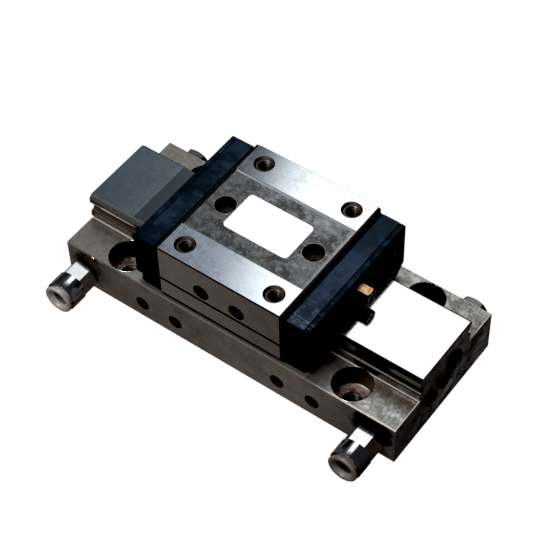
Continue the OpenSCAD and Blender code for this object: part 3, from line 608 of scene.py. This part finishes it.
def base_steel():
    """One steel body: ground rail top, stained ledges, dull front, dark flanks, ends and holes."""
    made, tree = new_tree("base_steel")
    zone = base_zones(tree)
    spot, way = zone.spot, zone.way
    wear = use(tree, "edge_wear", Width=0.00025, Gain=5.0, Break=0.55)["Mask"]
    specks = use(tree, "specks", Size=1.1, Share=0.10)["Mask"]
    tone = blend(tree, zone.ledge, front_tone(tree, zone), ledge_tone(tree, zone))
    tone = blend(tree, zone.rail, tone, rail_side_tone(tree, zone))
    tone = blend(tree, way["End"], tone, end_tone(tree, zone))
    tone = blend(tree, zone.land, tone, rail_top_tone(tree, zone))
    tone = blend(tree, both(tree, specks, 0.5), tone, (0.10, 0.08, 0.06))
    worn = both(tree, wear, inverse(tree, both(tree, zone.rail, zone.right)))
    tone = blend(tree, worn, tone, (0.80, 0.80, 0.80))
    # Painted shade round the fittings: its mask, and its tone (film).
    shade_near_ports, film = fitting_shade(tree, zone)
    tone = hole_tones(tree, zone, blend(tree, shade_near_ports, tone, film))
    tone, matt = edge_lines(tree, zone, tone)
    # Painted highlight: a small gold glint on the front face by the left fitting.
    glint = both(tree, within(tree, apart(tree, spot["X"], -41.6), apart(tree, spot["Z"], 12.55), 0.40),
                 under(tree, spot["Y"], -20.8))
    tone = blend(tree, glint, tone, (1.0, 0.78, 0.50))

    rough = steer(tree, way["Front"], 0.34, 0.42)
    for mask, value in (
            (zone.ledge, maths(tree, "MULTIPLY_ADD", zone.mottle["Tone"], -0.10, 0.44)),
            (zone.rail, 0.24), (way["End"], 0.6),
            (zone.land, maths(tree, "MULTIPLY_ADD", zone.mottle["Fine"], 0.05, 0.05)),
            (worn, 0.22), (zone.bore, 0.55), (zone.tapped, 0.3), (shade_near_ports, 0.85), (matt, 0.7), (glint, 0.5)):
        rough = steer(tree, mask, rough, value)
    height = maths(tree, "ADD", both(tree, zone.lines, 0.18), both(tree, zone.mottle["Fine"], 0.6))
    shader(tree, tone, rough, inverse(tree, matt), height, 0.006)
    return made


def table_zones(tree):
    """The block's faces and holes as masks, and the patterns that its finishes share."""
    spot = spot_mm(tree)
    way = use(tree, "facing")
    along = maths(tree, "SUBTRACT", spot["X"], TABLE_X)
    across = maths(tree, "ABSOLUTE", spot["Y"])
    column = apart(tree, maths(tree, "ABSOLUTE", along), TABLE_HOLE_X)
    row = apart(tree, across, TABLE_HOLE_Y)
    outer = over(tree, across, 20.0)
    mouth = both(tree, within(tree, column, row, 2.78), under(tree, spot["Z"], 31.27),
                 over(tree, spot["Z"], 24.0))
    return SimpleNamespace(
        spot=spot, along=along, from_left=lengthwise(tree, along, 50), mouth=mouth,
        mottle=use(tree, "mottle", Size=2.6, Sharp=0.45), patch=use(tree, "mottle", Size=1.1, Sharp=0.35),
        lines=use(tree, "grinding", Lines=9.0)["Height"],
        dirt=use(tree, "specks", Size=1.3, Share=0.10)["Mask"],
        top=over(tree, spot["Z"], 31.1),
        inner=both(tree, under(tree, across, 11.0), over(tree, spot["Z"], 30.6), way["Up"]),
        deep=both(tree, mouth, within(tree, column, row, 2.13)),
        middle=both(tree, within(tree, column, across, 2.88), under(tree, spot["Z"], 30.77)),
        side=both(tree, within(tree, apart(tree, maths(tree, "ABSOLUTE", along), SIDE_HOLE_X),
                               apart(tree, spot["Z"], SIDE_HOLE_Z), 2.43),
                  over(tree, across, 16.0), under(tree, across, 20.78)),
        # Bands painted black as shade: the side line, widened below its groove; the block's lower edge; a
        # thin line at the top edge.
        line=both(tree, under(tree, apart(tree, spot["Z"], 20.22), 0.48), outer),
        under_edge=both(tree, under(tree, spot["Z"], 15.0), outer),
        top_edge=both(tree, over(tree, spot["Z"], 30.92), under(tree, spot["Z"], 31.28),
                      over(tree, across, 20.3)))


def strip_tone(tree, zone):
    """The two ground strips: bright, with a painted highlight at the front left and painted shade at the
    rear left, smeared.
    """
    patch = zone.patch["Tone"]
    bright = ramp(tree, zone.lines, (0.3, (0.61, 0.63, 0.645)), (0.7, (0.73, 0.74, 0.75)))
    bright = blend(tree, ramp(tree, patch, (0.55, 0.0), (1.0, 0.30)), bright, (0.36, 0.37, 0.37))
    bright = blend(tree, both(tree, zone.dirt, 0.5), bright, (0.9, 0.92, 0.94))
    # Painted highlight at the front left; painted shade at the rear left.
    start = ramp(tree, zone.from_left, (0.15, 0.85), (0.40, 0.0))
    front = blend(tree, start, bright, (0.97, 0.96, 0.94))
    rear = shaded(tree, bright, ramp(tree, zone.from_left, (0.16, 0.27), (0.22, 0.42), (0.36, 0.80),
                                     (0.48, 1.0)))
    bright = blend(tree, over(tree, zone.spot["Y"], 0.0), front, rear)
    smear = either(tree, ramp(tree, patch, (0.50, 0.0), (0.75, 0.55)),
                   ramp(tree, zone.mottle["Tone"], (0.58, 0.0), (0.85, 0.40)))
    smear = both(tree, smear, ramp(tree, zone.from_left, (0.3, 1.0), (0.65, 0.15)))
    return blend(tree, smear, bright, (0.40, 0.41, 0.42))


def middle_tone(tree, zone):
    """The milled strip between them: dark, blotched, lighter to the rear as painted light, darker at its
    left end as painted shade, and with a painted highlight at its right end.
    """
    patch = zone.patch["Tone"]
    specks = use(tree, "specks", Size=2.2, Share=0.20)["Mask"]
    fine = use(tree, "mottle", Size=5.0, Sharp=0.8)["Tone"]
    dull = ramp(tree, zone.mottle["Tone"], (0.05, (0.085, 0.084, 0.082)), (0.5, (0.165, 0.168, 0.170)),
                (0.95, (0.245, 0.25, 0.255)))
    blot = (0.055, 0.053, 0.050)
    right_end = maths(tree, "MULTIPLY_ADD", zone.along, 0.1, -1.0)
    for mask, tone in (
            (ramp(tree, fine, (0.1, 0.38), (0.45, 0.0)), blot),
            (ramp(tree, patch, (0.48, 0.0), (0.70, 0.9)), blot),
            # Painted shade at the left end.
            (ramp(tree, zone.from_left, (0.18, 0.48), (0.46, 0.0)), (0.06, 0.06, 0.06)),
            (ramp(tree, patch, (0.12, 0.55), (0.34, 0.0)), (0.26, 0.265, 0.265)),
            (both(tree, specks, 0.45), (0.50, 0.52, 0.53)),
            (ramp(tree, fine, (0.78, 0.0), (0.98, 0.35)), (0.42, 0.43, 0.44)),
            # Painted highlight along the strip's right end.
            (ramp(tree, right_end, (0.66, 0.0), (0.76, 0.75)), (0.36, 0.36, 0.37))):
        dull = blend(tree, mask, dull, tone)
    # Painted light: the strip is lighter towards the rear.
    return shaded(tree, dull, ramp(tree, lengthwise(tree, zone.spot["Y"], 20), (0.05, (0.84, 0.86, 0.88)),
                                   (0.95, (1.28, 1.31, 1.35))))


def side_tone(tree, zone):
    """The block's sides: brown-grey, darker to the right as painted shade."""
    brown = ramp(tree, zone.patch["Tone"], (0.1, (0.325, 0.335, 0.335)), (0.9, (0.42, 0.44, 0.455)))
    return shaded(tree, brown, ramp(tree, zone.from_left, (0.15, (1.15, 1.15, 1.15)),
                                    (0.45, (0.98, 0.98, 0.98)), (0.80, (0.76, 0.76, 0.76))))


def table_steel():
    """The block: bright ground strips, a rough dull middle strip, brown-grey sides, dark holes."""
    made, tree = new_tree("table_steel")
    zone = table_zones(tree)
    fine = zone.mottle["Fine"]
    wear = use(tree, "edge_wear", Width=0.0002, Gain=4.0, Break=0.4)["Mask"]
    tone = blend(tree, zone.top, side_tone(tree, zone), strip_tone(tree, zone))
    tone = blend(tree, zone.inner, tone, middle_tone(tree, zone))
    tone = blend(tree, wear, tone, (0.80, 0.81, 0.82))
    # Hole mouths: grease-brown, darkened further as painted shade.
    grease_and_shade = ramp(tree, fine, (0.35, (0.05, 0.042, 0.037)), (0.65, (0.11, 0.09, 0.08)))
    tone = blend(tree, zone.mouth, tone, grease_and_shade)
    # Painted shade: the holes get darker with depth.
    depth = ramp(tree, maths(tree, "MULTIPLY_ADD", zone.spot["Z"], 0.1, -2.4),
                 (0.44, (0.008, 0.006, 0.005)), (0.68, (0.085, 0.066, 0.056)))
    tone = blend(tree, zone.deep, tone, depth)
    # Painted shade: holes, the widened side line, the block's lower edge and the top edge line are painted
    # black.
    for dark in (zone.middle, zone.side, zone.line, zone.under_edge, zone.top_edge):
        tone = blend(tree, dark, tone, BLACK_HOLE)
    rough = steer(tree, zone.top, 0.36, maths(tree, "MULTIPLY_ADD", fine, 0.06, 0.06))
    for mask, value in ((both(tree, zone.top, zone.dirt), 0.45), (zone.inner, 0.5), (zone.mouth, 0.33),
                        (either(tree, zone.line, zone.under_edge, zone.top_edge), 0.9)):
        rough = steer(tree, mask, rough, value)
    height = maths(tree, "ADD", both(tree, zone.lines, 0.16), both(tree, fine, zone.inner, 2.6))
    shader(tree, tone, rough, 1.0, height, 0.008)
    return made


def black_moulding(name, tone, rough, coat, sheen_amount):
    """Moulded black plastic or rubber: a blue sheen (the shader's blue specular tint, and painted in
    patches), a painted sheen towards the front of the right cap, scuffs, paler edges, and faces other than
    flat tops painted near black as shade.
    """
    made, tree = new_tree(name)
    spot = spot_mm(tree)
    scuff = use(tree, "scuffs", Amount=0.75, Size=0.6)["Mask"]
    mottle = use(tree, "mottle", Size=1.2, Sharp=0.3)
    cloud = use(tree, "mottle", Size=0.55, Sharp=0.5)["Tone"]
    wear = use(tree, "edge_wear", Width=0.00025, Gain=3.0, Break=0.7)["Mask"]
    flat = use(tree, "facing")["Flat"]
    right_cap = over(tree, spot["X"], 17.0)
    corner = both(tree, right_cap,
                  ramp(tree, maths(tree, "MULTIPLY", spot["Y"], -0.05), (0.45, 0.0), (0.75, 1.0)))
    forward = lengthwise(tree, spot["Y"], -50)
    # Painted sheen towards the front of the right cap, in cloudy patches.
    front_sheen = both(tree, right_cap, ramp(tree, forward, (0.25, 0.0), (0.45, 0.8)),
                ramp(tree, cloud, (0.25, 0.25), (0.65, 1.0)))
    base = ramp(tree, mottle["Tone"], (0.2, times(tone, 0.3)), (0.8, times(tone, 1.2)))
    # Painted blue sheen in cloudy patches.
    base = blend(tree, ramp(tree, cloud, (0.50, 0.0), (0.85, 0.9)), base, (0.008, 0.016, 0.028))
    base = blend(tree, both(tree, front_sheen, sheen_amount), base, (0.021, 0.031, 0.053))
    base = blend(tree, both(tree, scuff, steer(tree, corner, 0.10, 1.0)), base, (0.16, 0.20, 0.24))
    base = blend(tree, both(tree, wear, 0.25), base, (0.02, 0.024, 0.03))
    # Painted shade: faces that do not look straight up are near black.
    base = blend(tree, flat, (0.0008, 0.0008, 0.0009), base)
    gloss = steer(tree, flat, 0.9, maths(tree, "MULTIPLY_ADD", cloud, 0.25, rough))
    shader(tree, base, gloss, 0.0, mottle["Fine"], 0.012,
           Specular_IOR_Level=coat, Specular_Tint=(0.36, 0.68, 1.0, 1))
    return made


def nickel(name, tone, rough):
    """Bright plating with faint turning marks and dark painted shade on the faces that look down."""
    made, tree = new_tree(name)
    mottle = use(tree, "mottle", Size=2.2, Sharp=0.3)
    scuff = use(tree, "scuffs", Amount=0.8, Size=2.0)["Mask"]
    wear = use(tree, "edge_wear", Width=0.0002, Gain=3.0, Break=0.5)["Mask"]
    base = ramp(tree, mottle["Tone"], (0.1, times(tone, 0.82)), (0.7, tone))
    base = blend(tree, scuff, base, (0.35, 0.33, 0.31))
    base = blend(tree, wear, base, (0.9, 0.89, 0.87))
    # Painted shade: faces that look down are darkened.
    down = ramp(tree, lengthwise(tree, normal_parts(tree)["Z"], 2), (0.56, 1.0), (0.76, 0.0))
    base = blend(tree, both(tree, down, 0.85), base, (0.02, 0.018, 0.015))
    barrel = under(tree, spot_mm(tree)["Y"], -26.85)
    gloss = steer(tree, barrel, maths(tree, "MULTIPLY_ADD", mottle["Tone"], 0.10, rough), 0.12)
    shader(tree, base, gloss, 1.0, mottle["Fine"], 0.004)
    return made


def plain(name, tone, rough, metal=0.0, **fixed):
    """A small piece's finish: mottled tone, a fine grain and paler edges."""
    made, tree = new_tree(name)
    mottle = use(tree, "mottle", Size=2.5, Sharp=0.3)
    wear = use(tree, "edge_wear", Width=0.00015, Gain=3.0, Break=0.6)["Mask"]
    base = ramp(tree, mottle["Tone"], (0.2, times(tone, 0.75)), (0.8, times(tone, 1.2)))
    base = blend(tree, wear, base, tuple(min(1.0, 1.5 * t + 0.03) for t in tone))
    gloss = maths(tree, "MULTIPLY_ADD", mottle["Fine"], 0.12, rough)
    shader(tree, base, gloss, metal, mottle["Fine"], 0.006, **fixed)
    return made


def label_film():
    """White film with a faint grain."""
    made, tree = new_tree("label_film")
    grain = use(tree, "mottle", Size=3.0, Sharp=0.2)["Fine"]
    tone = ramp(tree, grain, (0.3, (0.955, 0.96, 0.96)), (0.7, (0.985, 0.985, 0.98)))
    shader(tree, tone, 0.5, 0.0, grain, 0.002, Specular_IOR_Level=0.35)
    return made


def brass():
    """Stained brass; the flats that look down or sideways are painted near black as shade."""
    made, tree = new_tree("brass")
    mottle = use(tree, "mottle", Size=3.2, Sharp=0.5)
    tone = ramp(tree, mottle["Tone"], (0.1, (0.30, 0.14, 0.045)), (0.45, (0.47, 0.29, 0.125)),
                (0.85, (0.60, 0.43, 0.25)))
    lit = ramp(tree, lengthwise(tree, normal_parts(tree)["Z"], 2), (0.80, 0.0), (0.86, 1.0))
    # Painted shade: flats that do not look up are near black.
    tone = blend(tree, lit, (0.010, 0.007, 0.005), tone)
    gloss = maths(tree, "MULTIPLY_ADD", mottle["Tone"], 0.12, 0.27)
    shader(tree, tone, gloss, 1.0, mottle["Fine"], 0.008)
    return made


def plug_grey():
    """Dull plating: pale side flats and greyer flats above as painted light and shade, the left plug's upper
    flats darker still, and those turned right and up painted black as shade.
    """
    made, tree = new_tree("plug_grey")
    mottle = use(tree, "mottle", Size=2.5, Sharp=0.3)
    wear = use(tree, "edge_wear", Width=0.00018, Gain=6.0, Break=0.2)["Mask"]
    normal = normal_parts(tree)
    left = under(tree, spot_mm(tree)["X"], 0.0)
    upward = over(tree, normal["Z"], 0.2)
    above = ramp(tree, mottle["Tone"], (0.2, (0.17, 0.167, 0.158)), (0.8, (0.27, 0.262, 0.25)))
    # Painted shade: the upper flats of the left plug are darker.
    above = blend(tree, left, above, shaded(tree, above, (0.45, 0.45, 0.44)))
    pale_flats = ramp(tree, mottle["Tone"], (0.2, (0.46, 0.45, 0.43)), (0.8, (0.62, 0.61, 0.59)))
    base = blend(tree, upward, pale_flats, above)
    # Painted shade: flats turned right and up are near black.
    base = blend(tree, both(tree, over(tree, normal["X"], 0.3), upward), base, (0.014, 0.012, 0.010))
    base = blend(tree, both(tree, wear, steer(tree, left, 1.0, 0.15)), base, (0.95, 0.94, 0.92))
    gloss = maths(tree, "MULTIPLY_ADD", mottle["Fine"], 0.12, 0.50)
    shader(tree, base, gloss, 1.0, mottle["Fine"], 0.006)
    return made


def bush_plastic():
    """Moulded acetal: a pale copy on the left and a darker copy on the right as painted light and shade, and
    painted dark in its hole as shade.
    """
    made, tree = new_tree("bush_plastic")
    spot = spot_mm(tree)
    mottle = use(tree, "mottle", Size=2.6, Sharp=0.5)
    side = ramp(tree, lengthwise(tree, spot["X"], BASE_LENGTH), (0.2, 0.0), (0.8, 1.0))
    # Painted light and shade: a lit, pale copy for the left bush and a shaded copy for the right.
    pale = ramp(tree, mottle["Tone"], (0.2, (0.22, 0.19, 0.175)), (0.8, (0.36, 0.32, 0.295)))
    shaded_copy = ramp(tree, mottle["Tone"], (0.2, (0.085, 0.072, 0.062)), (0.8, (0.15, 0.13, 0.115)))
    middle = steer(tree, over(tree, spot["X"], 0.0), PORT_X["left"], PORT_X["right"])
    hole = within(tree, apart(tree, spot["X"], middle), apart(tree, spot["Z"], PORT_Z), 2.3)
    # Painted shade inside the hole, less dark in the left bush.
    inside = blend(tree, side, (0.085, 0.075, 0.058), (0.02, 0.017, 0.013))
    tone = blend(tree, hole, blend(tree, side, pale, shaded_copy), inside)
    shader(tree, tone, 0.38, 0.0, mottle["Fine"], 0.006)
    return made


def build_finishes():
    """Builds the shared effects, then one material for each slot."""
    for build in (build_edge_wear, build_mottle, build_grinding, build_scuffs, build_specks, build_facing):
        build()
    return {
        "base_steel": base_steel(),
        "table_steel": table_steel(),
        "nickel": nickel("nickel", (0.60, 0.59, 0.58), 0.07),
        "bush_plastic": bush_plastic(),
        "cap_plastic": black_moulding("cap_plastic", (0.003, 0.004, 0.007), 0.26, 0.19, 1.0),
        "seal_rubber": black_moulding("seal_rubber", (0.003, 0.0035, 0.005), 0.40, 0.14, 0.0),
        "plate_black": plain("plate_black", (0.002, 0.002, 0.0025), 0.45, Specular_IOR_Level=0.12),
        "screw_black": plain("screw_black", (0.026, 0.021, 0.018), 0.50, 0.8),
        "brass": brass(),
        "plug_grey": plug_grey(),
        "plug_aluminium": plain("plug_aluminium", (0.35, 0.35, 0.36), 0.35, 1.0),
        "yoke_steel": plain("yoke_steel", (0.45, 0.45, 0.46), 0.35, 1.0),
        "wear_plastic": plain("wear_plastic", (0.22, 0.14, 0.08), 0.5),
        "ball_steel": nickel("ball_steel", (0.80, 0.81, 0.83), 0.08),
        "label_film": label_film(),
    }


def dress_frame(finishes):
    """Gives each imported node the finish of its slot; gaskets are black like the plates."""
    slots = {part["node"]: part["material_slot"] for part in frame["record"]["subparts"]}
    for node, piece in frame["nodes"].items():
        piece.data.materials.clear()
        piece.data.materials.append(finishes["plate_black" if "gasket" in node else slots[node]])


# ---- Fine pieces ---------------------------------------------------------

TURN = np.radians(np.arange(180) * 2.0)
HEXAGON_CONE = 1.73


def turned(name, rows, place, axis, body, slot, stands_for=None, finish=None):
    """A closed surface round an axis, made of rows of rings.

    Each row is (radius, distance along the axis); the radius is one number or one value for each
    of the 180 angles in TURN. The last row joins on to the first, so the rows go once round the
    section. A point is place + distance * axis + radius * (cos(turn) * across + sin(turn) * up).
    """
    axis, up = np.array(axis, float), np.array((0, 0, 1.0) if abs(axis[2]) < 0.5 else (0, 1.0, 0))
    across = np.cross(up, axis) if abs(axis[2]) < 0.5 else np.array((1.0, 0, 0))
    count = len(TURN)
    radius = np.array([np.broadcast_to(row[0], count) for row in rows])
    along = np.array([np.broadcast_to(row[1], count) for row in rows])
    ring = np.cos(TURN)[:, None] * across + np.sin(TURN)[:, None] * up
    points = np.array(place, float) + along[..., None] * axis + radius[..., None] * ring
    first, second = np.meshgrid(np.arange(len(rows)), np.arange(count), indexing="ij")
    after, beside = (first + 1) % len(rows), (second + 1) % count
    faces = np.stack((first * count + second, first * count + beside,
                      after * count + beside, after * count + second), axis=-1)
    mesh = bpy.data.meshes.new(name)
    mesh.from_pydata((points.reshape(-1, 3) * MM).tolist(), [], faces.reshape(-1, 4).tolist())
    shape = bmesh.new()
    shape.from_mesh(mesh)
    bmesh.ops.recalc_face_normals(shape, faces=shape.faces)
    shape.to_mesh(mesh)
    shape.free()
    mesh.shade_smooth()
    mesh.set_sharp_from_angle(angle=math.radians(32))
    piece = bpy.data.objects.new(name, mesh)
    bpy.context.scene.collection.objects.link(piece)
    mesh.materials.append(finishes[finish or slot])
    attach(piece, body)
    if stands_for:
        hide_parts(stands_for)
    return piece


def hexagon(flats, turn=0.0):
    """Radius of a hexagon at each angle: half the width over the cosine from the nearest flat."""
    from_flat = np.mod(TURN - math.radians(turn), math.radians(60)) - math.radians(30)
    return flats / 2 / np.cos(from_flat)


def capped(outline, flats, drop):
    """The hexagon cut by a 30 degree cone that meets its end face just inside the flats.

    At this drop below the face the radius is the smaller of the hexagon's and the cone's.
    """
    return np.minimum(outline, flats / 2 - 0.05 + HEXAGON_CONE * drop)


def thread(name, place, axis, radius, length, pitch, body, slot):
    """A tapped hole's thread: the inner wall's radius falls and rises once per pitch.

    The radius at a point is the hole's radius minus the thread's height times a clipped triangle
    wave of (distance / pitch - turn / full turn). A thin back wall closes the sleeve.
    """
    height = 0.5 * pitch
    far = np.arange(0, length + pitch / 16, pitch / 8)
    rows = []
    for distance in far:
        wave = np.mod(distance / pitch - TURN / (2 * math.pi), 1.0)
        crest = np.clip(1.35 - 2.7 * np.abs(wave - 0.5) * 1.1, 0.0, 1.0)
        rows.append((radius - 0.03 - height * crest, distance))
    rows.append((radius - 0.01, far[-1]))
    rows.append((radius - 0.01, 0.0))
    return turned(name, rows, place, axis, body, slot)


def build_threads():
    """The threads of all tapped holes: table top, base mounts, base front and table side."""
    for i, j, mark in CORNERS:
        thread(f"thread_top_{mark}", (TABLE_X + TABLE_HOLE_X * i, TABLE_HOLE_Y * j, 24.9), (0, 0, 1),
               2.1, 5.7, 0.8, "table", "table_steel")
        thread(f"thread_mount_{mark}", (MOUNT_X * i, MOUNT_Y * j, 0.4), (0, 0, 1),
               2.6, 5.9, 0.9, "base", "base_steel")
        thread(f"thread_switch_{mark}", (SWITCH_X * i + SWITCH_STEP * j, -15.4, SWITCH_Z), (0, -1, 0),
               2.1, 5.3, 0.8, "base", "base_steel")
    for i, side in SIDES:
        thread(f"thread_side_{side}", (TABLE_X + SIDE_HOLE_X * i, -17.0, SIDE_HOLE_Z), (0, -1, 0),
               2.05, 3.3, 0.8, "table", "table_steel")


def build_fittings():
    """Tube fittings: a crisp hexagon, a barrel with rounded edges and the bush's funnelled collar."""
    near, far, flats = 22.3, 26.9, 7.6
    for side, turn in (("left", -6), ("right", 0)):
        place = (PORT_X[side], 0, PORT_Z)
        outline = hexagon(flats, turn)
        rows = [(1.1, 16.8), (2.08, 16.8), (2.08, near), (3.6, near), (outline - 0.1, near),
                (outline, near + 0.1), (outline, far - 0.1), (outline - 0.1, far),
                (4.3, far), (4.3, 31.35), (4.27, 31.45), (4.2, 31.5), (4.06, 31.5), (4.06, 31.2),
                (3.4, 31.2), (3.4, far), (3.0, far), (3.0, far - 1.7),
                (2.1, far - 1.7), (2.1, near + 1), (1.1, near + 1)]
        turned(f"fitting_{side}_turned", rows, place, (0, -1, 0), "base", "nickel", f"fitting_{side}")
        collar = np.radians(np.linspace(0, 90, 6))
        bush = [(2.1, 28.2), (3.35, 28.2), (3.35, 32.1), (3.9, 32.1)]
        bush += [(3.55 + 0.5 * math.cos(a), 32.5 + 0.5 * math.sin(a)) for a in collar]
        bush += [(3.2, 32.96), (2.95, 32.84), (2.8, 32.6), (2.6, 32.2), (2.3, 31.8), (2.1, 31.6)]
        turned(f"release_bush_{side}_turned", bush, place, (0, -1, 0), f"bush_{side}",
               "bush_plastic", f"release_bush_{side}")


def build_port_plugs():
    """Port plugs: a hexagon head with a cone turned on its face and a hexagon socket."""
    near, far = 21.7, 25.6
    outline, socket = hexagon(7.6), hexagon(2.5)
    for _, side in SIDES:
        rows = [(0.4, 16.8), (2.08, 16.8), (2.08, near), (3.4, near), (outline - 0.1, near),
                (outline, near + 0.1)]
        rows += [(np.minimum(outline, 3.62 + HEXAGON_CONE * drop), far - drop)
                 for drop in (0.45, 0.35, 0.25, 0.17, 0.1, 0.05, 0.0)]
        rows += [(socket + 0.15, far), (socket, far - 0.12), (socket, far - 1.5), (0.4, far - 1.5)]
        turned(f"port_plug_{side}_turned", rows, (PORT_X[side], 0, PORT_Z), (0, 1, 0), "base",
               "nickel", f"port_plug_{side}", "plug_grey")


def build_nipple():
    """Grease nipple: a hexagon with a chamfered end round its fine bore."""
    near, far, flats = 24.85, 28.55, 4.2
    outline = hexagon(flats)
    rows = [(0.6, 19.4), (1.38, 19.4), (1.38, near), (1.9, near)]
    rows += [(capped(outline, flats, drop), near + drop) for drop in (0.0, 0.08, 0.2)]
    rows += [(capped(outline, flats, drop) - 0.12 * (0.2 - drop), far - drop)
             for drop in (0.35, 0.2, 0.12, 0.06, 0.0)]
    rows += [(1.0, far), (0.7, far - 0.15), (0.6, far - 0.3)]
    turned("grease_nipple_turned", rows, (0, 0, 25.5), (1, 0, 0), "table", "brass", "grease_nipple")


def build_rims():
    """Burnished rims round the counterbores: a thin bead on the ledge."""
    around = np.radians(np.arange(8) * 45)
    rows = [(5.15 + 0.06 * math.cos(a), LEDGE_Z + 0.06 * math.sin(a)) for a in around]
    for i, j, mark in CORNERS:
        turned(f"rim_{mark}", rows, (MOUNT_X * i, MOUNT_Y * j, 0), (0, 0, 1), "base", "base_steel")


def round_edges():
    """Small bevels, in millimetres, on the moulded and pressed pieces and the screw heads."""
    widths = {"end_cap_left": 0.25, "end_cap_right": 0.25, "end_seal_left": 0.3, "end_seal_right": 0.3,
              "spacer_plate_left": 0.08, "spacer_plate_right": 0.08, "cap_screws": 0.12, "yoke_screws": 0.12}
    for node, width in widths.items():
        piece = frame["nodes"][node]
        weld = piece.modifiers.new("join", "WELD")
        weld.merge_threshold = 0.002 * MM
        bevel = piece.modifiers.new("edge", "BEVEL")
        bevel.width = width * MM
        bevel.segments = 3
        bevel.limit_method = "ANGLE"
        bevel.angle_limit = math.radians(50)
        bevel.use_clamp_overlap = False
        bevel.harden_normals = True


# ---- Everything ----------------------------------------------------------

set_camera()
set_floor()
set_light()
finishes = build_finishes()
dress_frame(finishes)
build_threads()
build_fittings()
build_port_plugs()
build_nipple()
build_rims()
round_edges()
